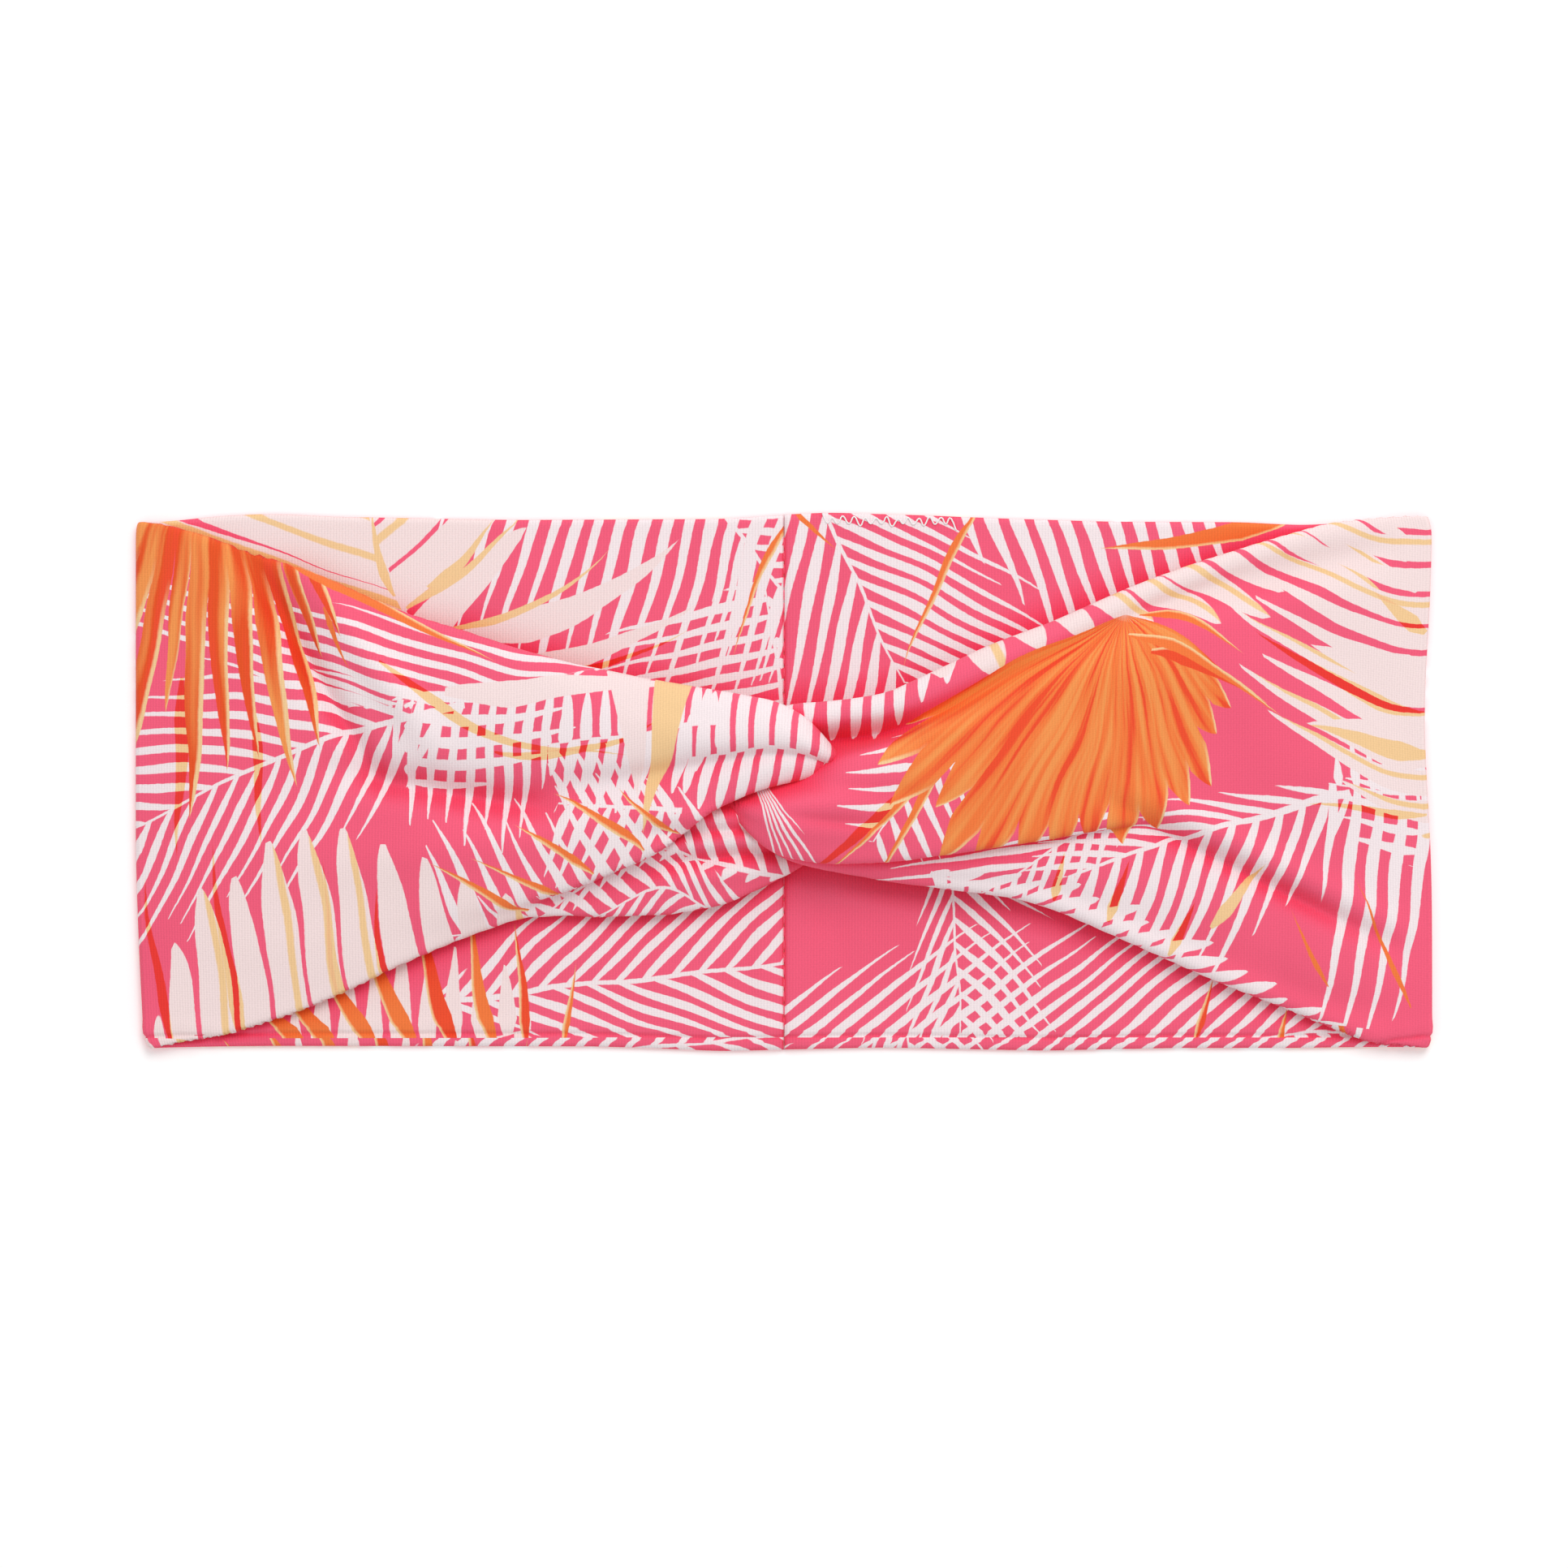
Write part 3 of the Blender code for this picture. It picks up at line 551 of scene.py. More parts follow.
class Nodes:
    """Short ways to add nodes to one tree and link them."""

    def __init__(self, tree):
        self.tree = tree

    def add(self, kind, inputs=(), **settings):
        node = self.tree.nodes.new(kind)
        for name, value in settings.items():
            setattr(node, name, value)
        for key, value in dict(inputs).items():
            self.set(node.inputs[key], value)
        return node

    def set(self, socket, value):
        if isinstance(value, bpy.types.NodeSocket):
            self.tree.links.new(value, socket)
        elif isinstance(value, tuple) and socket.type == "RGBA":
            socket.default_value = (*value, 1)
        else:
            socket.default_value = value

    def calculate(self, kind, values, **settings):
        node = self.add(kind, **settings)
        for socket, value in zip(node.inputs, values):
            self.set(socket, value)
        return node.outputs[0]

    def math(self, operation, *values, clamp=False):
        return self.calculate("ShaderNodeMath", values, operation=operation, use_clamp=clamp)

    def vector_math(self, operation, *values):
        return self.calculate("ShaderNodeVectorMath", values, operation=operation)

    def times(self, first, second):
        return self.math("MULTIPLY", first, second)

    def minus(self, first, second):
        return self.math("SUBTRACT", first, second)

    def over(self, first, second, clamp=False):
        return self.math("DIVIDE", first, second, clamp=clamp)

    def line(self, value, slope, start, clamp=False):
        """The value times a slope, added to a start."""
        return self.math("MULTIPLY_ADD", value, slope, start, clamp=clamp)

    def ramp(self, value, line):
        """A line, given as its slope and start, that stays between 0 and 1."""
        return self.line(value, *line, clamp=True)

    def vector(self, x, y, z=0.0):
        return self.add("ShaderNodeCombineXYZ", {"X": x, "Y": y, "Z": z}).outputs[0]

    def axes(self, vector):
        return self.add("ShaderNodeSeparateXYZ", {"Vector": vector}).outputs

    def noise(self, place, scale, detail=2.0, output=0):
        values = {"Vector": place, "Scale": scale, "Detail": detail}
        return self.add("ShaderNodeTexNoise", values, noise_dimensions="2D").outputs[output]

    def mix(self, share, first, second, blend="MIX"):
        node = self.add("ShaderNodeMix", data_type="RGBA", blend_type=blend)
        for index, value in ((0, share), (6, first), (7, second)):
            self.set(node.inputs[index], value)
        return node.outputs[2]

    def mix_vectors(self, share, first, second):
        node = self.add("ShaderNodeMix", data_type="VECTOR")
        for index, value in ((0, share), (4, first), (5, second)):
            self.set(node.inputs[index], value)
        return node.outputs[1]

    def random(self, x, y):
        place = self.vector(x, y)
        return self.add("ShaderNodeTexWhiteNoise", {"Vector": place}, noise_dimensions="2D").outputs[0]

    def inside(self, value, low, high):
        above = self.math("GREATER_THAN", value, low)
        return self.times(above, self.math("LESS_THAN", value, high))

    def arch(self, share):
        """0 at both ends of a length and 1 in its middle."""
        return self.times(self.times(share, self.minus(1.0, share)), 4.0)

    def cell(self, position):
        """The number of the cell that a position is in, and how far it is from the cell's middle."""
        number = self.math("FLOOR", position)
        return number, self.minus(self.minus(position, number), 0.5)

    def inked(self, gap):
        """Full ink where the gap to the outline is well above 0, fading over the edge's width."""
        return self.line(gap, 1 / INK_EDGE, 0.5, clamp=True)


PLACE_SOCKETS = ("X", "Y", "Origin", "Angle")
VECTOR_SOCKETS = ("Origin", "Left", "Right")


def new_group(name, inputs, outputs):
    tree = bpy.data.node_groups.new(name, "ShaderNodeTree")
    for label in (*PLACE_SOCKETS, *inputs):
        kind = "NodeSocketVector" if label in VECTOR_SOCKETS else "NodeSocketFloat"
        tree.interface.new_socket(label, in_out="INPUT", socket_type=kind)
    for label in outputs:
        tree.interface.new_socket(label, in_out="OUTPUT", socket_type="NodeSocketFloat")
    given = tree.nodes.new("NodeGroupInput").outputs
    result = tree.nodes.new("NodeGroupOutput").inputs
    return tree, Nodes(tree), given, result


def local_axes(n, given):
    """The place along and across a motif that starts at its origin and points along its angle."""
    origin = n.axes(given["Origin"])
    x = n.minus(given["X"], origin["X"])
    y = n.minus(given["Y"], origin["Y"])
    cosine = n.math("COSINE", given["Angle"])
    sine = n.math("SINE", given["Angle"])
    along = n.line(x, cosine, n.times(y, sine))
    across = n.minus(n.times(y, cosine), n.times(x, sine))
    return along, across


def frond_group():
    """A palm frond: a rib with tapering leaflets. Left and Right hold reach, lean and pitch."""
    labels = ("Length", "Bend", "Left", "Right", "Swing", "Sweep", "Fill", "Neck", "Point", "Rib",
              "Uneven", "Seed")
    tree, n, given, result = new_group("frond", labels, ("Cover", "Across", "Random"))
    along, across = local_axes(n, given)
    across = n.minus(across, n.times(given["Bend"], n.times(along, along)))
    is_left = n.math("GREATER_THAN", across, 0.0)
    distance = n.math("ABSOLUTE", across)
    shape = n.axes(n.mix_vectors(is_left, given["Right"], given["Left"]))
    pitch = shape["Z"]
    base = n.minus(1.0, n.over(along, given["Length"]))
    lean = n.line(given["Swing"], base, shape["Y"])
    lean = n.line(given["Sweep"], distance, lean)
    root = n.minus(along, n.times(distance, lean))
    number, offset = n.cell(n.line(is_left, LEAFLET_STAGGER, n.over(root, pitch)))
    chance = n.random(number, n.math("ADD", is_left, given["Seed"]))
    share = n.over(root, given["Length"], clamp=True)
    reach = n.times(shape["X"], n.math("POWER", n.arch(share), LEAFLET_SWELL))
    reach = n.times(reach, n.line(chance, given["Uneven"], LEAFLET_REACH_START))
    reach = n.math("MAXIMUM", reach, SMALLEST)
    out = n.over(distance, reach, clamp=True)
    neck = n.line(out, LEAFLET_OPENING, given["Neck"], clamp=True)
    taper = n.minus(1.0, n.math("POWER", out, given["Point"]))
    fullness = n.line(chance, *LEAFLET_HALF_WIDTH)
    half_width = n.times(n.times(neck, taper), n.times(given["Fill"], fullness))
    half_width = n.math("ADD", half_width, n.times(given["Fill"], LEAFLET_TIP))
    spacing = n.over(pitch, n.math("SQRT", n.line(lean, lean, 1.0)))
    gap = n.times(n.minus(half_width, n.math("ABSOLUTE", offset)), spacing)
    leaflet = n.times(n.inked(gap), n.inside(root, 0.0, given["Length"]))
    leaflet = n.times(leaflet, n.math("LESS_THAN", out, LEAFLET_END))
    rib_width = n.times(given["Rib"], n.line(base, *RIB_TAPER))
    rib = n.inked(n.minus(rib_width, distance))
    rib = n.times(rib, n.inside(along, 0.0, given["Length"]))
    n.set(result["Cover"], n.math("MAXIMUM", leaflet, rib))
    n.set(result["Across"], offset)
    n.set(result["Random"], chance)
    return tree


def fan_group():
    """A fan palm leaf: blades from one point, joined near it and tapering apart."""
    labels = ("Spread", "Blade", "Reach", "Joined", "Curl", "Skew", "Seed")
    measures = ("Cover", "Across", "Gap", "Random", "Along", "Turn")
    tree, n, given, result = new_group("fan", labels, measures)
    along, across = local_axes(n, given)
    square = n.math("ADD", n.times(along, along), n.times(across, across))
    radius = n.math("SQRT", square)
    turn = n.math("ARCTAN2", across, along)
    turn = n.times(turn, n.line(given["Curl"], radius, 1.0))
    number, offset = n.cell(n.over(turn, given["Blade"]))
    chance = n.random(number, given["Seed"])
    side = n.over(turn, given["Spread"])
    crown = n.math("POWER", n.math("MAXIMUM", n.math("COSINE", side), SMALLEST), FAN_CROWN)
    crown = n.times(crown, n.line(given["Skew"], side, 1.0))
    reach = n.times(given["Reach"], n.line(chance, *FAN_REACH))
    reach = n.math("MAXIMUM", n.times(reach, crown), SMALLEST)
    share = n.over(radius, reach)
    apart = n.minus(share, given["Joined"])
    apart = n.over(apart, n.minus(1.0, given["Joined"]), clamp=True)
    taper = n.math("POWER", n.minus(1.0, apart), FAN_TAPER)
    half_width = n.line(taper, 0.5 + FAN_JOINT, -0.5 * FAN_JOINT)
    width = n.times(radius, given["Blade"])
    gap = n.times(n.minus(half_width, n.math("ABSOLUTE", offset)), width)
    cover = n.times(n.inked(gap), n.math("LESS_THAN", n.math("ABSOLUTE", turn), given["Spread"]))
    n.set(result["Cover"], n.times(cover, n.math("LESS_THAN", share, 1.0)))
    n.set(result["Gap"], gap)
    n.set(result["Across"], offset)
    n.set(result["Random"], chance)
    n.set(result["Along"], share)
    n.set(result["Turn"], turn)
    return tree


def blade_group():
    """One loose leaf blade: a bent stroke from a blunt root to a pointed tip."""
    labels = ("Length", "Bend", "Width")
    tree, n, given, result = new_group("blade", labels, ("Cover", "Across", "Gap"))
    along, across = local_axes(n, given)
    share = n.over(along, given["Length"], clamp=True)
    across = n.minus(across, n.times(n.arch(share), given["Bend"]))
    root = n.ramp(share, BLADE_ROOT)
    swell = n.times(root, n.minus(1.0, n.math("POWER", share, BLADE_TIP)))
    gap = n.line(given["Width"], n.times(swell, 0.5), -BLADE_TRIM)
    gap = n.minus(gap, n.math("ABSOLUTE", across))
    cover = n.times(n.inked(gap), n.inside(along, 0.0, given["Length"]))
    n.set(result["Cover"], cover)
    n.set(result["Across"], across)
    n.set(result["Gap"], gap)
    return tree


GROUPS = {"frond": frond_group(), "fan": fan_group(), "blade": blade_group()}


FROND = {"bend": 0.0, "swing": 0.0, "sweep": 0.0, "fill": 0.62, "neck": 0.4, "point": 1.5, "rib": 0.45,
         "uneven": 0.35}
BROAD_LEAF = {"fill": 0.94, "neck": 1.0, "point": 3.0, "colour": PALE, "stroke": PEACH}


def motif(kind, x, y, angle, colour, stroke, **values):
    """A motif from (x, y) along an angle. Its other values are named as its group's sockets are."""
    values.update(origin=(x, y, 0), angle=math.radians(angle))
    return kind, {label.title(): value for label, value in values.items()}, colour, stroke


def frond(x, y, angle, length, left, right=None, colour=WHITE, stroke=None, **changes):
    """A frond; left and right are the reach, lean and pitch of the leaflets on each side."""
    return motif("frond", x, y, angle, colour, stroke, length=length, left=left, right=right or left,
                 seed=(abs(x) + abs(y)) % 7, **{**FROND, **changes})


def broad_leaf(x, y, angle, length, left, right=None, **changes):
    return frond(x, y, angle, length, left, right, **{**BROAD_LEAF, **changes})


def fan(x, y, angle, spread, blades, reach, joined=0.45, curl=0.0, skew=0.0, colour=ORANGE, stroke=FLAME):
    return motif("fan", x, y, angle, colour, stroke, spread=math.radians(spread),
                 blade=math.radians(2 * spread / blades), reach=reach, joined=joined, curl=curl,
                 skew=skew, seed=abs(y) % 5)


def blade(x, y, angle, length, width=1.6, bend=0.0, colour=ORANGE):
    lit_edge = PEACH if colour in (ORANGE, FLAME) and width > THIN_BLADE else None
    return motif("blade", x, y, angle, colour, lit_edge, length=length, bend=bend, width=width)


def glaze(x, y, angle, length, width=2.0, bend=0.0):
    """A blade of thin orange ink: peach over white and red over pink."""
    return blade(x, y, angle, length, width, bend, colour=None)


def paint(n, under, place, motif):
    """Lays one motif over the colour that is there."""
    kind, values, colour, stroke = motif
    group = n.add("ShaderNodeGroup", node_tree=GROUPS[kind])
    for label, value in values.items():
        n.set(group.inputs[label], value)
    n.set(group.inputs["X"], place["X"])
    n.set(group.inputs["Y"], place["Y"])
    out = group.outputs
    if colour is None:
        ink = n.mix(n.ramp(under, GLAZE_ON_PALE), RED, PEACH)
    elif kind == "fan" and stroke is not None:
        ink = fan_ink(n, out, colour, stroke, values["Joined"])
    elif kind == "blade" and stroke is not None:
        edge = n.ramp(out["Gap"], BLADE_LIT_EDGE)
        ink = n.mix(n.times(edge, n.math("GREATER_THAN", out["Across"], 0.0)), colour, stroke)
    elif stroke is not None:
        off_middle = n.math("ABSOLUTE", n.minus(out["Across"], STRIPE_MIDDLE))
        stripe = n.times(n.ramp(off_middle, STRIPE), n.math("GREATER_THAN", out["Random"], STRIPED_SHARE))
        ink = n.mix(stripe, colour, stroke)
    else:
        ink = colour
    return n.mix(out["Cover"], under, ink)


def fan_ink(n, out, colour, stroke, joined):
    """Streaks of lighter and darker ink along the blades, and a pale edge on one side of some."""
    place = n.vector(n.times(out["Turn"], STREAKS_PER_RADIAN), n.times(out["Along"], STREAK_STRETCH))
    streaks = n.noise(place, 1.0)
    ink = n.mix(n.ramp(streaks, LIGHT_STREAKS), colour, TANGERINE)
    ink = n.mix(n.ramp(streaks, DARK_STREAKS), ink, stroke)
    edge = n.ramp(out["Gap"], (FAN_EDGE_SLOPE, n.line(out["Random"], *FAN_EDGE_START)))
    edge = n.times(edge, n.math("GREATER_THAN", out["Across"], 0.0))
    edge = n.times(edge, n.ramp(out["Along"], (EDGE_FADE, 0.3 - EDGE_FADE * joined)))
    return n.mix(edge, ink, PEACH)


# The knit's ribs and rows, how much darker they and its flecks are, and the painted shade that darkens and
# deepens the colour where the cloth is shut in, in creases and under folds
WALE_PITCH = 0.55
COURSE_PITCH = 0.42
COURSE_SHARE = 0.35
KNIT_SHADE = (0.035, 0.965)
FLECKS_PER_MM = 3.2
FLECK_SHADE = (0.14, -0.07)
FLECK_RELIEF = 1.4
KNIT_RELIEF = 0.06
BLOTCHES_PER_MM = 0.05
BLOTCH_TINTS = (0.95, 1.05)
CREVICE_REACH = 7.0
CREVICE_SHADE_DEPTH = 0.65
CREVICE = (-1.9, 1.9)

# The print's unevenness: cells of noise in a millimetre, and how far each moves the print
BRUSH_CELLS = 0.95
BRUSH_JITTER = 0.16
DRIFT_CELLS = 0.07
HAND_DRIFT = 1.6
OTHER_END = (9.0, 14.0, 0.0)


def drawn_place(n, place):
    """The print's coordinates, moved a little as by a drawing hand and a dry brush."""
    brush = n.noise(place, BRUSH_CELLS, detail=1.0, output=1)
    drift = n.noise(place, DRIFT_CELLS, detail=0.0, output=1)
    for wander, amount in ((brush, BRUSH_JITTER), (drift, HAND_DRIFT)):
        centred = n.vector_math("SUBTRACT", wander, (0.5, 0.5, 0.5))
        place = n.vector_math("MULTIPLY_ADD", centred, (amount, amount, 0), place)
    return place


def past_seam(n, place):
    """Past the long seam the other end of the strip shows, with another stretch of the print."""
    beyond = n.math("LESS_THAN", n.axes(place)["Y"], LONG_SEAM_Y)
    return n.vector_math("MULTIPLY_ADD", n.vector(beyond, beyond), OTHER_END, place)


def new_material(name):
    material = bpy.data.materials.new(name)
    material.use_nodes = True
    material.node_tree.nodes.clear()
    return material, Nodes(material.node_tree)


def tinted(colour, strength):
    return tuple(strength * channel for channel in colour)


def jersey_material(name, motifs):
    material, n = new_material(name)
    cloth_place = n.add("ShaderNodeUVMap", uv_map="print").outputs[0]
    place = n.axes(drawn_place(n, past_seam(n, cloth_place)))
    blotch = n.noise(cloth_place, BLOTCHES_PER_MM, detail=1.0)
    colour = n.mix(blotch, *(tinted(PINK, tint) for tint in BLOTCH_TINTS))
    for motif in motifs:
        colour = paint(n, colour, place, motif)
    parts = n.axes(cloth_place)
    wale = n.math("SINE", n.times(parts["X"], 2 * math.pi / WALE_PITCH))
    course = n.math("SINE", n.times(parts["Y"], 2 * math.pi / COURSE_PITCH))
    fleck = n.noise(cloth_place, FLECKS_PER_MM)
    knit = n.line(course, COURSE_SHARE, wale)
    shade = n.line(knit, *KNIT_SHADE)
    shade = n.math("ADD", shade, n.line(fleck, *FLECK_SHADE))
    grey = n.add("ShaderNodeCombineColor", {"Red": shade, "Green": shade, "Blue": shade}).outputs[0]
    colour = n.mix(1.0, colour, grey, blend="MULTIPLY")
    # Painted shade: where ambient occlusion finds the cloth shut in by folds, the colour is made darker and
    # more saturated
    openness = n.add("ShaderNodeAmbientOcclusion", {"Distance": CREVICE_REACH * MM}, samples=4)
    painted_crevice_shade = n.ramp(openness.outputs["AO"], CREVICE)
    painted_shade_gamma = n.line(painted_crevice_shade, CREVICE_SHADE_DEPTH, 1.0)
    colour = n.add("ShaderNodeGamma", {"Color": colour, "Gamma": painted_shade_gamma}).outputs[0]
    relief = n.line(fleck, FLECK_RELIEF, knit)
    bump = n.add("ShaderNodeBump", {"Height": relief, "Strength": 0.35, "Distance": KNIT_RELIEF * MM})
    shader = n.add("ShaderNodeBsdfPrincipled", {
        "Base Color": colour, "Normal": bump.outputs[0], "Roughness": 0.92,
        "Specular IOR Level": 0.18, "Sheen Weight": 0.15, "Sheen Roughness": 0.5,
    })
    shader.inputs["Sheen Tint"].default_value = (1.0, 0.85, 0.88, 1)
    n.add("ShaderNodeOutputMaterial", {"Surface": shader.outputs[0]})
    return material


# Motifs are laid one over the other in this order, at places on the cloth. The places beyond the
# end folds, over 120 from the middle, are on the underside.
LEFT_OUTSIDE = (
    frond(-28, 23, 188, 52, (1, 1, 4), (32, 2.4, 7.8), fill=0.56, rib=0.0, sweep=0.006),
    frond(-58, 17.6, 194.5, 66, (24, 1.0, 4.5), (26, 1.9, 6.8), fill=0.59, bend=0.0022, swing=-0.4,
          rib=0.65, sweep=0.006),
    frond(6, -28, 178, 70, (3, 1, 4), (28, 0.38, 4.4), fill=0.6, sweep=0.006),
    frond(-16, -8, 168, 24, (16, 0.3, 3.5), (12, 0.8, 3.4), fill=0.62, rib=0.5),
    frond(-2, -36, 176, 52, (12, 1.0, 3.6), (16, 0.9, 3.6), fill=0.6, rib=0.3),
    frond(-38, 19, 182, 34, (27, 0.12, 3.5), (1, 0, 3.4), fill=0.53, neck=0.6, point=2.4, rib=0.0),
    frond(-68, 1, 88, 19, (1, 0, 4), (28, 0.06, 3.9), fill=0.5, neck=0.5, point=3, rib=0.0),
    frond(-8, 8, 178, 34, (14, 0.15, 3.6), (12, 0, 3.6), fill=0.66, neck=0.8, point=3),
    blade(-62, 19.5, -4, 50, 6, 1.5, PALE),
    glaze(-74, 25, -22, 52, 2.4, -4),
    glaze(-52, 9, 4, 34, 2.2, -3),
    blade(-27, 30, -86, 34, 10, 0, PALE),
    blade(-17, 30, -100, 42, 8.5, 1.5, PEACH),
    frond(12, 1, 176, 28, (15, 0.15, 3.7), (19, 0, 3.7), fill=0.66, neck=1.0, point=5),
    broad_leaf(-118, -59, 8, 82, (50, 0.06, 7.2), (4, 0, 7), fill=0.83, point=6, sweep=-0.001,
               uneven=0.18),
    glaze(-99, -50, 99, 40, 3.2, 1),
    glaze(-79, -46, 99, 34, 2.6, 1),
    glaze(-114, -50, 98, 34, 2.6, 1),
    glaze(-71, -46, 96, 30, 2.4, 1),
    blade(-46, -23, 150, 22, 2.2, -1),
    blade(-39, -20.5, 152, 21, 1.8, -1),
    blade(-33, -17, 143, 20, 2.0, -1),
    blade(-24, -14.5, 141, 22, 2.2, -1),
    blade(-17, -12, 137, 16, 1.8, 1),
    glaze(-111, 20, -92, 34, 3.4),
    glaze(-97, 14, -88, 26, 2.6),
    fan(-106, 82, -90, 28, 12, 88, joined=0.56, skew=-0.08, colour=DEEP_ORANGE),
    blade(-84, 34, -66, 13, 1.4),
    blade(-92, 42.5, -23, 44, 3.2),
)
LEFT_INSIDE = (
    frond(-62, 62, 0, 84, (2, 0, 4), (50, -0.28, 4.2), fill=0.6),
    frond(0, 8, 97, 30, (40, -0.1, 3.3), (2, 0, 4), fill=0.6),
    frond(-13, 52, -52, 34, (16, 0.7, 3.6), (16, 0.7, 3.6), fill=0.55),
    broad_leaf(-67, 22, 112, 34, (46, 0.9, 9), (44, 0.42, 9), rib=0.9),
    blade(-60, 27, 24, 44, 7.5, -4, PALE),
    blade(-58, 20, 18, 44, 6, -3, PALE),
    glaze(-56, 21, 12, 40, 2.2, -4),
    blade(-64, 28, 26, 36, 2.0, -3.5, PEACH),
    blade(-70, 32, 40, 28, 2.2, -1, PEACH),
    blade(-66, 36, 48, 18, 2.4, -1, PEACH),
    blade(-72, 34, 108, 18, 2.2, 1, PEACH),
    blade(1, 50, -112, 30, 1.7, -1),
    frond(-66, -40.5, 6, 86, (26, 1.15, 5.0), (20, 1.9, 6.5), fill=0.64, rib=0.6, sweep=0.006),
    frond(-96, -56, 12, 50, (20, 0.2, 5), fill=0.86, colour=PALE),
    blade(-88, -50, 138, 18, 3.8),
    blade(-82, -50, 130, 22, 3.8, 1),
    blade(-75, -50, 122, 25, 4.0, 1),
    blade(-68, -50, 114, 28, 4.0, 1),
    blade(-61, -50, 106, 28, 4.4, 1, FLAME),
    blade(-54, -50, 99, 28, 3.4, 1),
    blade(-48, -50, 94, 24, 2.6, 0, FLAME),
    blade(-41, -49, 84, 16, 1.6),
)
RIGHT_OUTSIDE = (
    frond(104, -4, 197, 56, (30, 0.62, 4.6), (9, 2.2, 6), fill=0.66, rib=0.75, sweep=0.008),
    frond(124, -2, 182, 24, (50, 0.1, 4.6), (10, 0, 3.4), fill=0.62, sweep=0.002),
    frond(118, 4, -92, 20, (2, 0, 4), (17, 0, 3.8), fill=0.6),
    frond(66, -5, 207, 42, (10, 0.9, 4), (15, 1.7, 5.6), fill=0.56, sweep=0.01, rib=0.4),
    frond(24, -15, -28, 100, (9, 1.1, 5.0), (9, 0.5, 4.0), fill=0.78, neck=1.0, point=4, rib=0.3),
    frond(31, 20, -128, 28, (16, 0.6, 3.8), (11, 0.6, 3.8), fill=0.45, rib=0.4),
    fan(-12, 15, -61, 13, 6, 30, joined=0.0, colour=WHITE, stroke=None),
    frond(-9, 33, 2, 40, (2, 0, 4), (14, -0.12, 4.4), fill=0.58, point=4, rib=0.0),
    broad_leaf(8, 41.5, 6, 98, (2, 0, 7.4), (23, 1.3, 6.6), fill=0.86, point=6, swing=-1.5, uneven=0.2),
    broad_leaf(131, -10, 97, 74, (46, -0.12, 5.4), (2, 0, 8), fill=0.84, point=2.4, sweep=0.012),
    blade(123, 19, 172, 27, 10, 1, PALE),
    blade(123, 6, 176, 27, 11, 0, PALE),
    glaze(120, 12.5, 159, 37, 3.4, 3),
    glaze(120, 28, 152, 13, 4.2),
    glaze(20, 6.5, 217, 26, 3.0),
    glaze(121, 5, 174, 25, 4.4),
    glaze(119, -6, 182, 24, 2.2),
    blade(78, -30, 50, 16, 3.0, 0, PEACH),
    glaze(58, -29, 70, 12, 2.6),
    glaze(70, -36, 66, 12, 2.6),
    glaze(48, -25, 80, 10, 2.2),
    blade(100, -40, 118, 16, 1.2),
    blade(116, -42, 116, 26, 1.4),
    blade(30, 20, -118, 36, 3.0, 1),
    blade(38, 22, -139, 46, 3.0, 1),
    fan(61, 31, 257, 72, 15, 53, joined=0.84, skew=-0.3, curl=0.003),
    blade(66, 22, -25, 25, 3.6, 1, FLAME),
    blade(62, 26, -30, 34, 2.6, 1),
    blade(64, 30, -24, 22, 2.4, 1),
)
RIGHT_INSIDE = (
    frond(-1.3, 69.6, -65, 57, (31, 1.15, 4.4), (26, 1.3, 6.2), fill=0.7, rib=0.55, sweep=0.004),
    frond(30, 56, 0, 50, (2, 0, 4), (32, 0.34, 4.4), fill=0.64),
    blade(37, 51, -115, 34, 2.1, -1.4),
    blade(1, 51, -40, 12, 1.3),
    blade(94, 48, 188, 36, 4.6, 0.6),
    blade(30, -14, -30, 24, 1.8, 0.5, WHITE),
    frond(31, -8, -87, 44, (19, 0.95, 4.4), (12, 2.0, 5.2), fill=0.56, rib=0.3, sweep=0.012),
    frond(-22, -53, 3, 150, (27, 1.15, 5.2), (2, 1, 4), fill=0.6, sweep=0.012),
    blade(76, -48, 72, 13, 1.8, 0, FLAME),
    blade(92, -50, 76, 9, 1.8),
)


def underside(side):
    """Leaves under one half, the left half's mirrored from the right half's."""
    def turned(angle):
        return angle if side > 0 else 180 - angle

    return (
        frond(side * 205, 26, turned(200), 74, (34, 1, 5.5), fill=0.6, rib=0.6),
        frond(side * 150, -34, turned(30), 76, (30, 1, 5), fill=0.6, rib=0.6),
        fan(side * 230, 50, turned(-130), 50, 15, 62, joined=0.5),
        broad_leaf(side * 158, 46, turned(-60), 60, (28, 0.7, 8)),
        blade(side * 180, -30, turned(150), 40, 2.4, 2),
        frond(side * 226, -6, turned(-20), 60, (26, 1, 5), fill=0.6, rib=0.6),
        fan(side * 136, -56, turned(84), 40, 13, 44, joined=0.55),
        frond(side * 176, 50, turned(-80), 50, (20, 1, 4.4), fill=0.55),
    )


LAYERS = ("back_outer_layer", "back_inner_layer", "front_outer_layer", "front_inner_layer", "twist_fold")
HALVES = (
    ("left", LEFT_LINES, "middle_crease", (LEFT_OUTSIDE, LEFT_INSIDE, underside(-1))),
    ("right", RIGHT_LINES, "middle", (RIGHT_OUTSIDE, RIGHT_INSIDE, underside(1))),
)


def add_half(label, lines, reference, prints):
    mesh = tube_mesh(f"{label}_half", lines, reference)
    for face, motifs in zip(("front", "inside", "underside"), prints):
        mesh.materials.append(jersey_material(f"{label} jersey {face}", motifs))
    replaced = [f"{label}_{layer}" for layer in LAYERS]
    replaced += [f"back_seam_allowance_{label}", f"long_seam_allowance_{label}"]
    if label == "right":
        replaced.append("twist_seam_allowance")
    piece = add_piece(f"{label}_half", mesh, replaced)


for half in HALVES:
    add_half(*half)

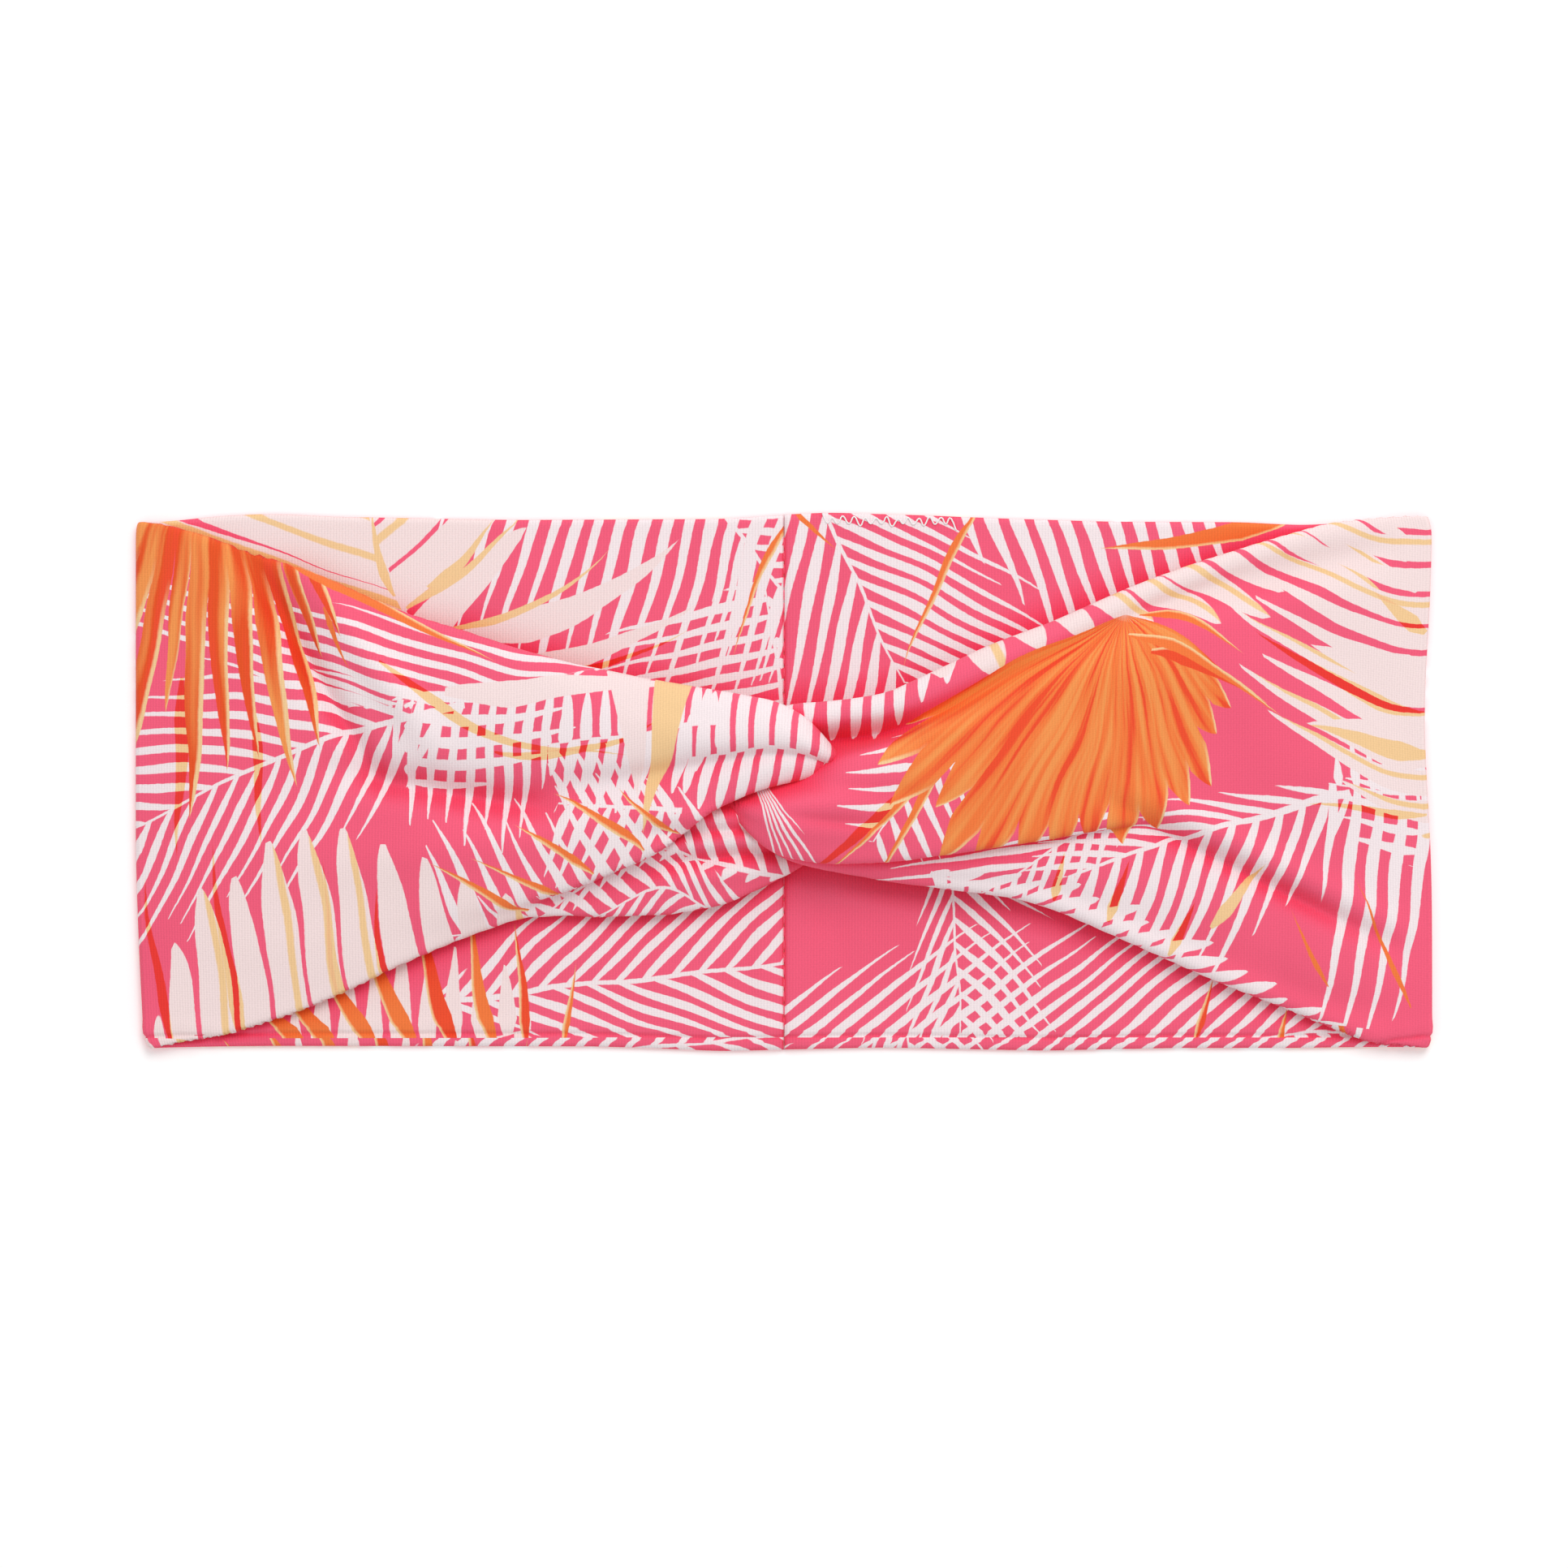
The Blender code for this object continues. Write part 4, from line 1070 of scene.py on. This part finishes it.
# ---------------------------------------------------------------- the seams' threads
SEAM_THREAD = 0.14
CLOSING_THREAD = 0.15
STITCH_PITCH = 2.4
STITCH_GAP = 0.5
STITCH_HEIGHTS = (-0.25, -0.02, 0.06, -0.02, -0.25)
SEAM_Z = BACK_Z + 0.2
CLOSING_Z = BACK_Z + CLOTH_HALF_THICKNESS + 0.75 * CLOSING_THREAD
CLOSING_ENDS = (7.0, 33.0)
CLOSING_PITCH = 2.0
CLOSING_Y = 48.3
CLOSING_HALF_HEIGHT = 1.35
LONG_SEAM_ENDS = (1.2, 110)
SUNK = 0.15
TWIST_STITCH_ENDS = ((-4, 1), (4, 1))
TWIST_STITCH_Z = 3.0


def thread_material(name, colour):
    """Plied cotton: slanting bands along the thread, with painted shade between the plies so each ply is
    lighter on top.
    """
    material, n = new_material(name)
    place = n.add("ShaderNodeTexCoord").outputs["Object"]
    values = {"Vector": place, "Scale": 1.1 / MM, "Distortion": 1.5, "Detail": 1.0}
    ply = n.add("ShaderNodeTexWave", values, bands_direction="DIAGONAL").outputs[1]
    fluff = n.add("ShaderNodeTexNoise", {"Vector": place, "Scale": 3 / MM}).outputs[0]
    # Painted shade between the plies, lighter on top of each ply; the fluff darkens it at random
    shade = n.mix(ply, tinted(colour, 0.9), colour)
    shade = n.mix(n.times(fluff, 0.2), shade, tinted(colour, 0.8))
    bump = n.add("ShaderNodeBump", {"Height": ply, "Strength": 0.3, "Distance": 0.05 * MM})
    values = {"Base Color": shade, "Normal": bump.outputs[0], "Roughness": 0.7, "Sheen Weight": 0.2}
    shader = n.add("ShaderNodeBsdfPrincipled", values)
    n.add("ShaderNodeOutputMaterial", {"Surface": shader.outputs[0]})
    return material


def add_thread(name, runs, radius, material, node):
    """A thread as round curves, one for each run of points that shows, in millimetres."""
    curve = bpy.data.curves.new(name, "CURVE")
    curve.dimensions = "3D"
    curve.bevel_depth = radius * MM
    curve.bevel_resolution = 2
    curve.use_fill_caps = True
    curve.resolution_u = 4
    for run in runs:
        spline = curve.splines.new("NURBS")
        spline.points.add(len(run) - 1)
        for point, place in zip(spline.points, run):
            point.co = (*(MM * c for c in place), 1)
        spline.use_endpoint_u = True
        spline.order_u = 3
    curve.materials.append(material)
    add_piece(name, curve, [node])


def running_stitches(start, end, z):
    """Short stitches from one (x, y) to another, each dipping into the cloth at both ends."""
    start, end = np.array(start, float), np.array(end, float)
    length = np.linalg.norm(end - start)
    step = (end - start) / length
    gap, pitch = STITCH_GAP, STITCH_PITCH
    stops = (gap / 2, gap, pitch / 2, pitch - gap, pitch - gap / 2)
    runs = []
    for i in range(int(length / pitch)):
        near = start + step * (i * pitch)
        runs.append([(*(near + step * stop), z + height) for stop, height in zip(stops, STITCH_HEIGHTS)])
    return runs


def zigzag(rng):
    """Hand-closed zigzag over the top edge, uneven from stitch to stitch."""
    points = []
    start, end = CLOSING_ENDS
    for i in range(int(2 * (end - start) / CLOSING_PITCH)):
        x = start + i * CLOSING_PITCH / 2 + rng.uniform(-0.2, 0.2)
        y = CLOSING_Y + (-1) ** i * CLOSING_HALF_HEIGHT * rng.uniform(0.7, 1.25)
        points.append((x, y, CLOSING_Z))
    return points


def add_threads():
    pink_thread = thread_material("seam thread", PINK)
    white_thread = thread_material("closing thread", BLEACHED)
    runs = running_stitches((0, LONG_SEAM_Y + 1.5), (0, CLOSING_Y - 1.5), SEAM_Z)
    add_thread("back_seam_stitches", runs, SEAM_THREAD, pink_thread, "back_seam_thread")
    for label, side in (("left", -1), ("right", 1)):
        start, end = ((side * x, LONG_SEAM_Y) for x in LONG_SEAM_ENDS)
        runs = running_stitches(start, end, SEAM_Z - SUNK)
        add_thread(f"long_seam_stitches_{label}", runs, SEAM_THREAD, pink_thread,
                   f"long_seam_thread_{label}")
    runs = running_stitches(*TWIST_STITCH_ENDS, TWIST_STITCH_Z)
    add_thread("twist_seam_stitches", runs, SEAM_THREAD, pink_thread, "twist_seam_thread")
    rng = np.random.default_rng(5)
    add_thread("closing_stitches", [zigzag(rng)], CLOSING_THREAD, white_thread,
               "closing_stitch_thread")


add_threads()

# ---------------------------------------------------------------- floor and light
FLOOR_SIZE = 6
FLOOR_Z = -0.05 * MM
FLOOR_GREY = 0.95
FLOOR_GLOW = 0.17
WORLD_STRENGTH = 0.645
KEY_PLACE = (0.3, 0.85, 1.15)
KEY_SIZE = 0.8
KEY_WATTS = 9.2


def add_floor():
    bpy.ops.mesh.primitive_plane_add(size=FLOOR_SIZE, location=(0, 0, FLOOR_Z))
    floor = bpy.context.object
    floor.name = "floor"
    material = bpy.data.materials.new("floor")
    material.use_nodes = True
    shader = material.node_tree.nodes["Principled BSDF"]
    shader.inputs["Base Color"].default_value = (FLOOR_GREY, FLOOR_GREY, FLOOR_GREY, 1)
    shader.inputs["Roughness"].default_value = 1
    shader.inputs["Specular IOR Level"].default_value = 0
    shader.inputs["Emission Color"].default_value = (1, 1, 1, 1)
    shader.inputs["Emission Strength"].default_value = FLOOR_GLOW
    floor.data.materials.append(material)


def add_softbox(name, location, size, power):
    data = bpy.data.lights.new(name, "AREA")
    data.shape = "SQUARE"
    data.size = size
    data.energy = power
    lamp = add_object(name, data)
    lamp.location = location
    direction = np.array(location) / np.linalg.norm(location)
    turn = math.atan2(direction[1], direction[0]) + math.pi / 2
    lamp.rotation_euler = (math.acos(direction[2]), 0, turn)


def add_world():
    world = bpy.data.worlds.new("studio")
    bpy.context.scene.world = world
    world.use_nodes = True
    background = world.node_tree.nodes["Background"]
    background.inputs["Color"].default_value = (1, 1, 1, 1)
    background.inputs["Strength"].default_value = WORLD_STRENGTH


add_floor()
add_world()
add_softbox("key", KEY_PLACE, KEY_SIZE, KEY_WATTS)
bpy.context.scene.view_settings.view_transform = "Standard"
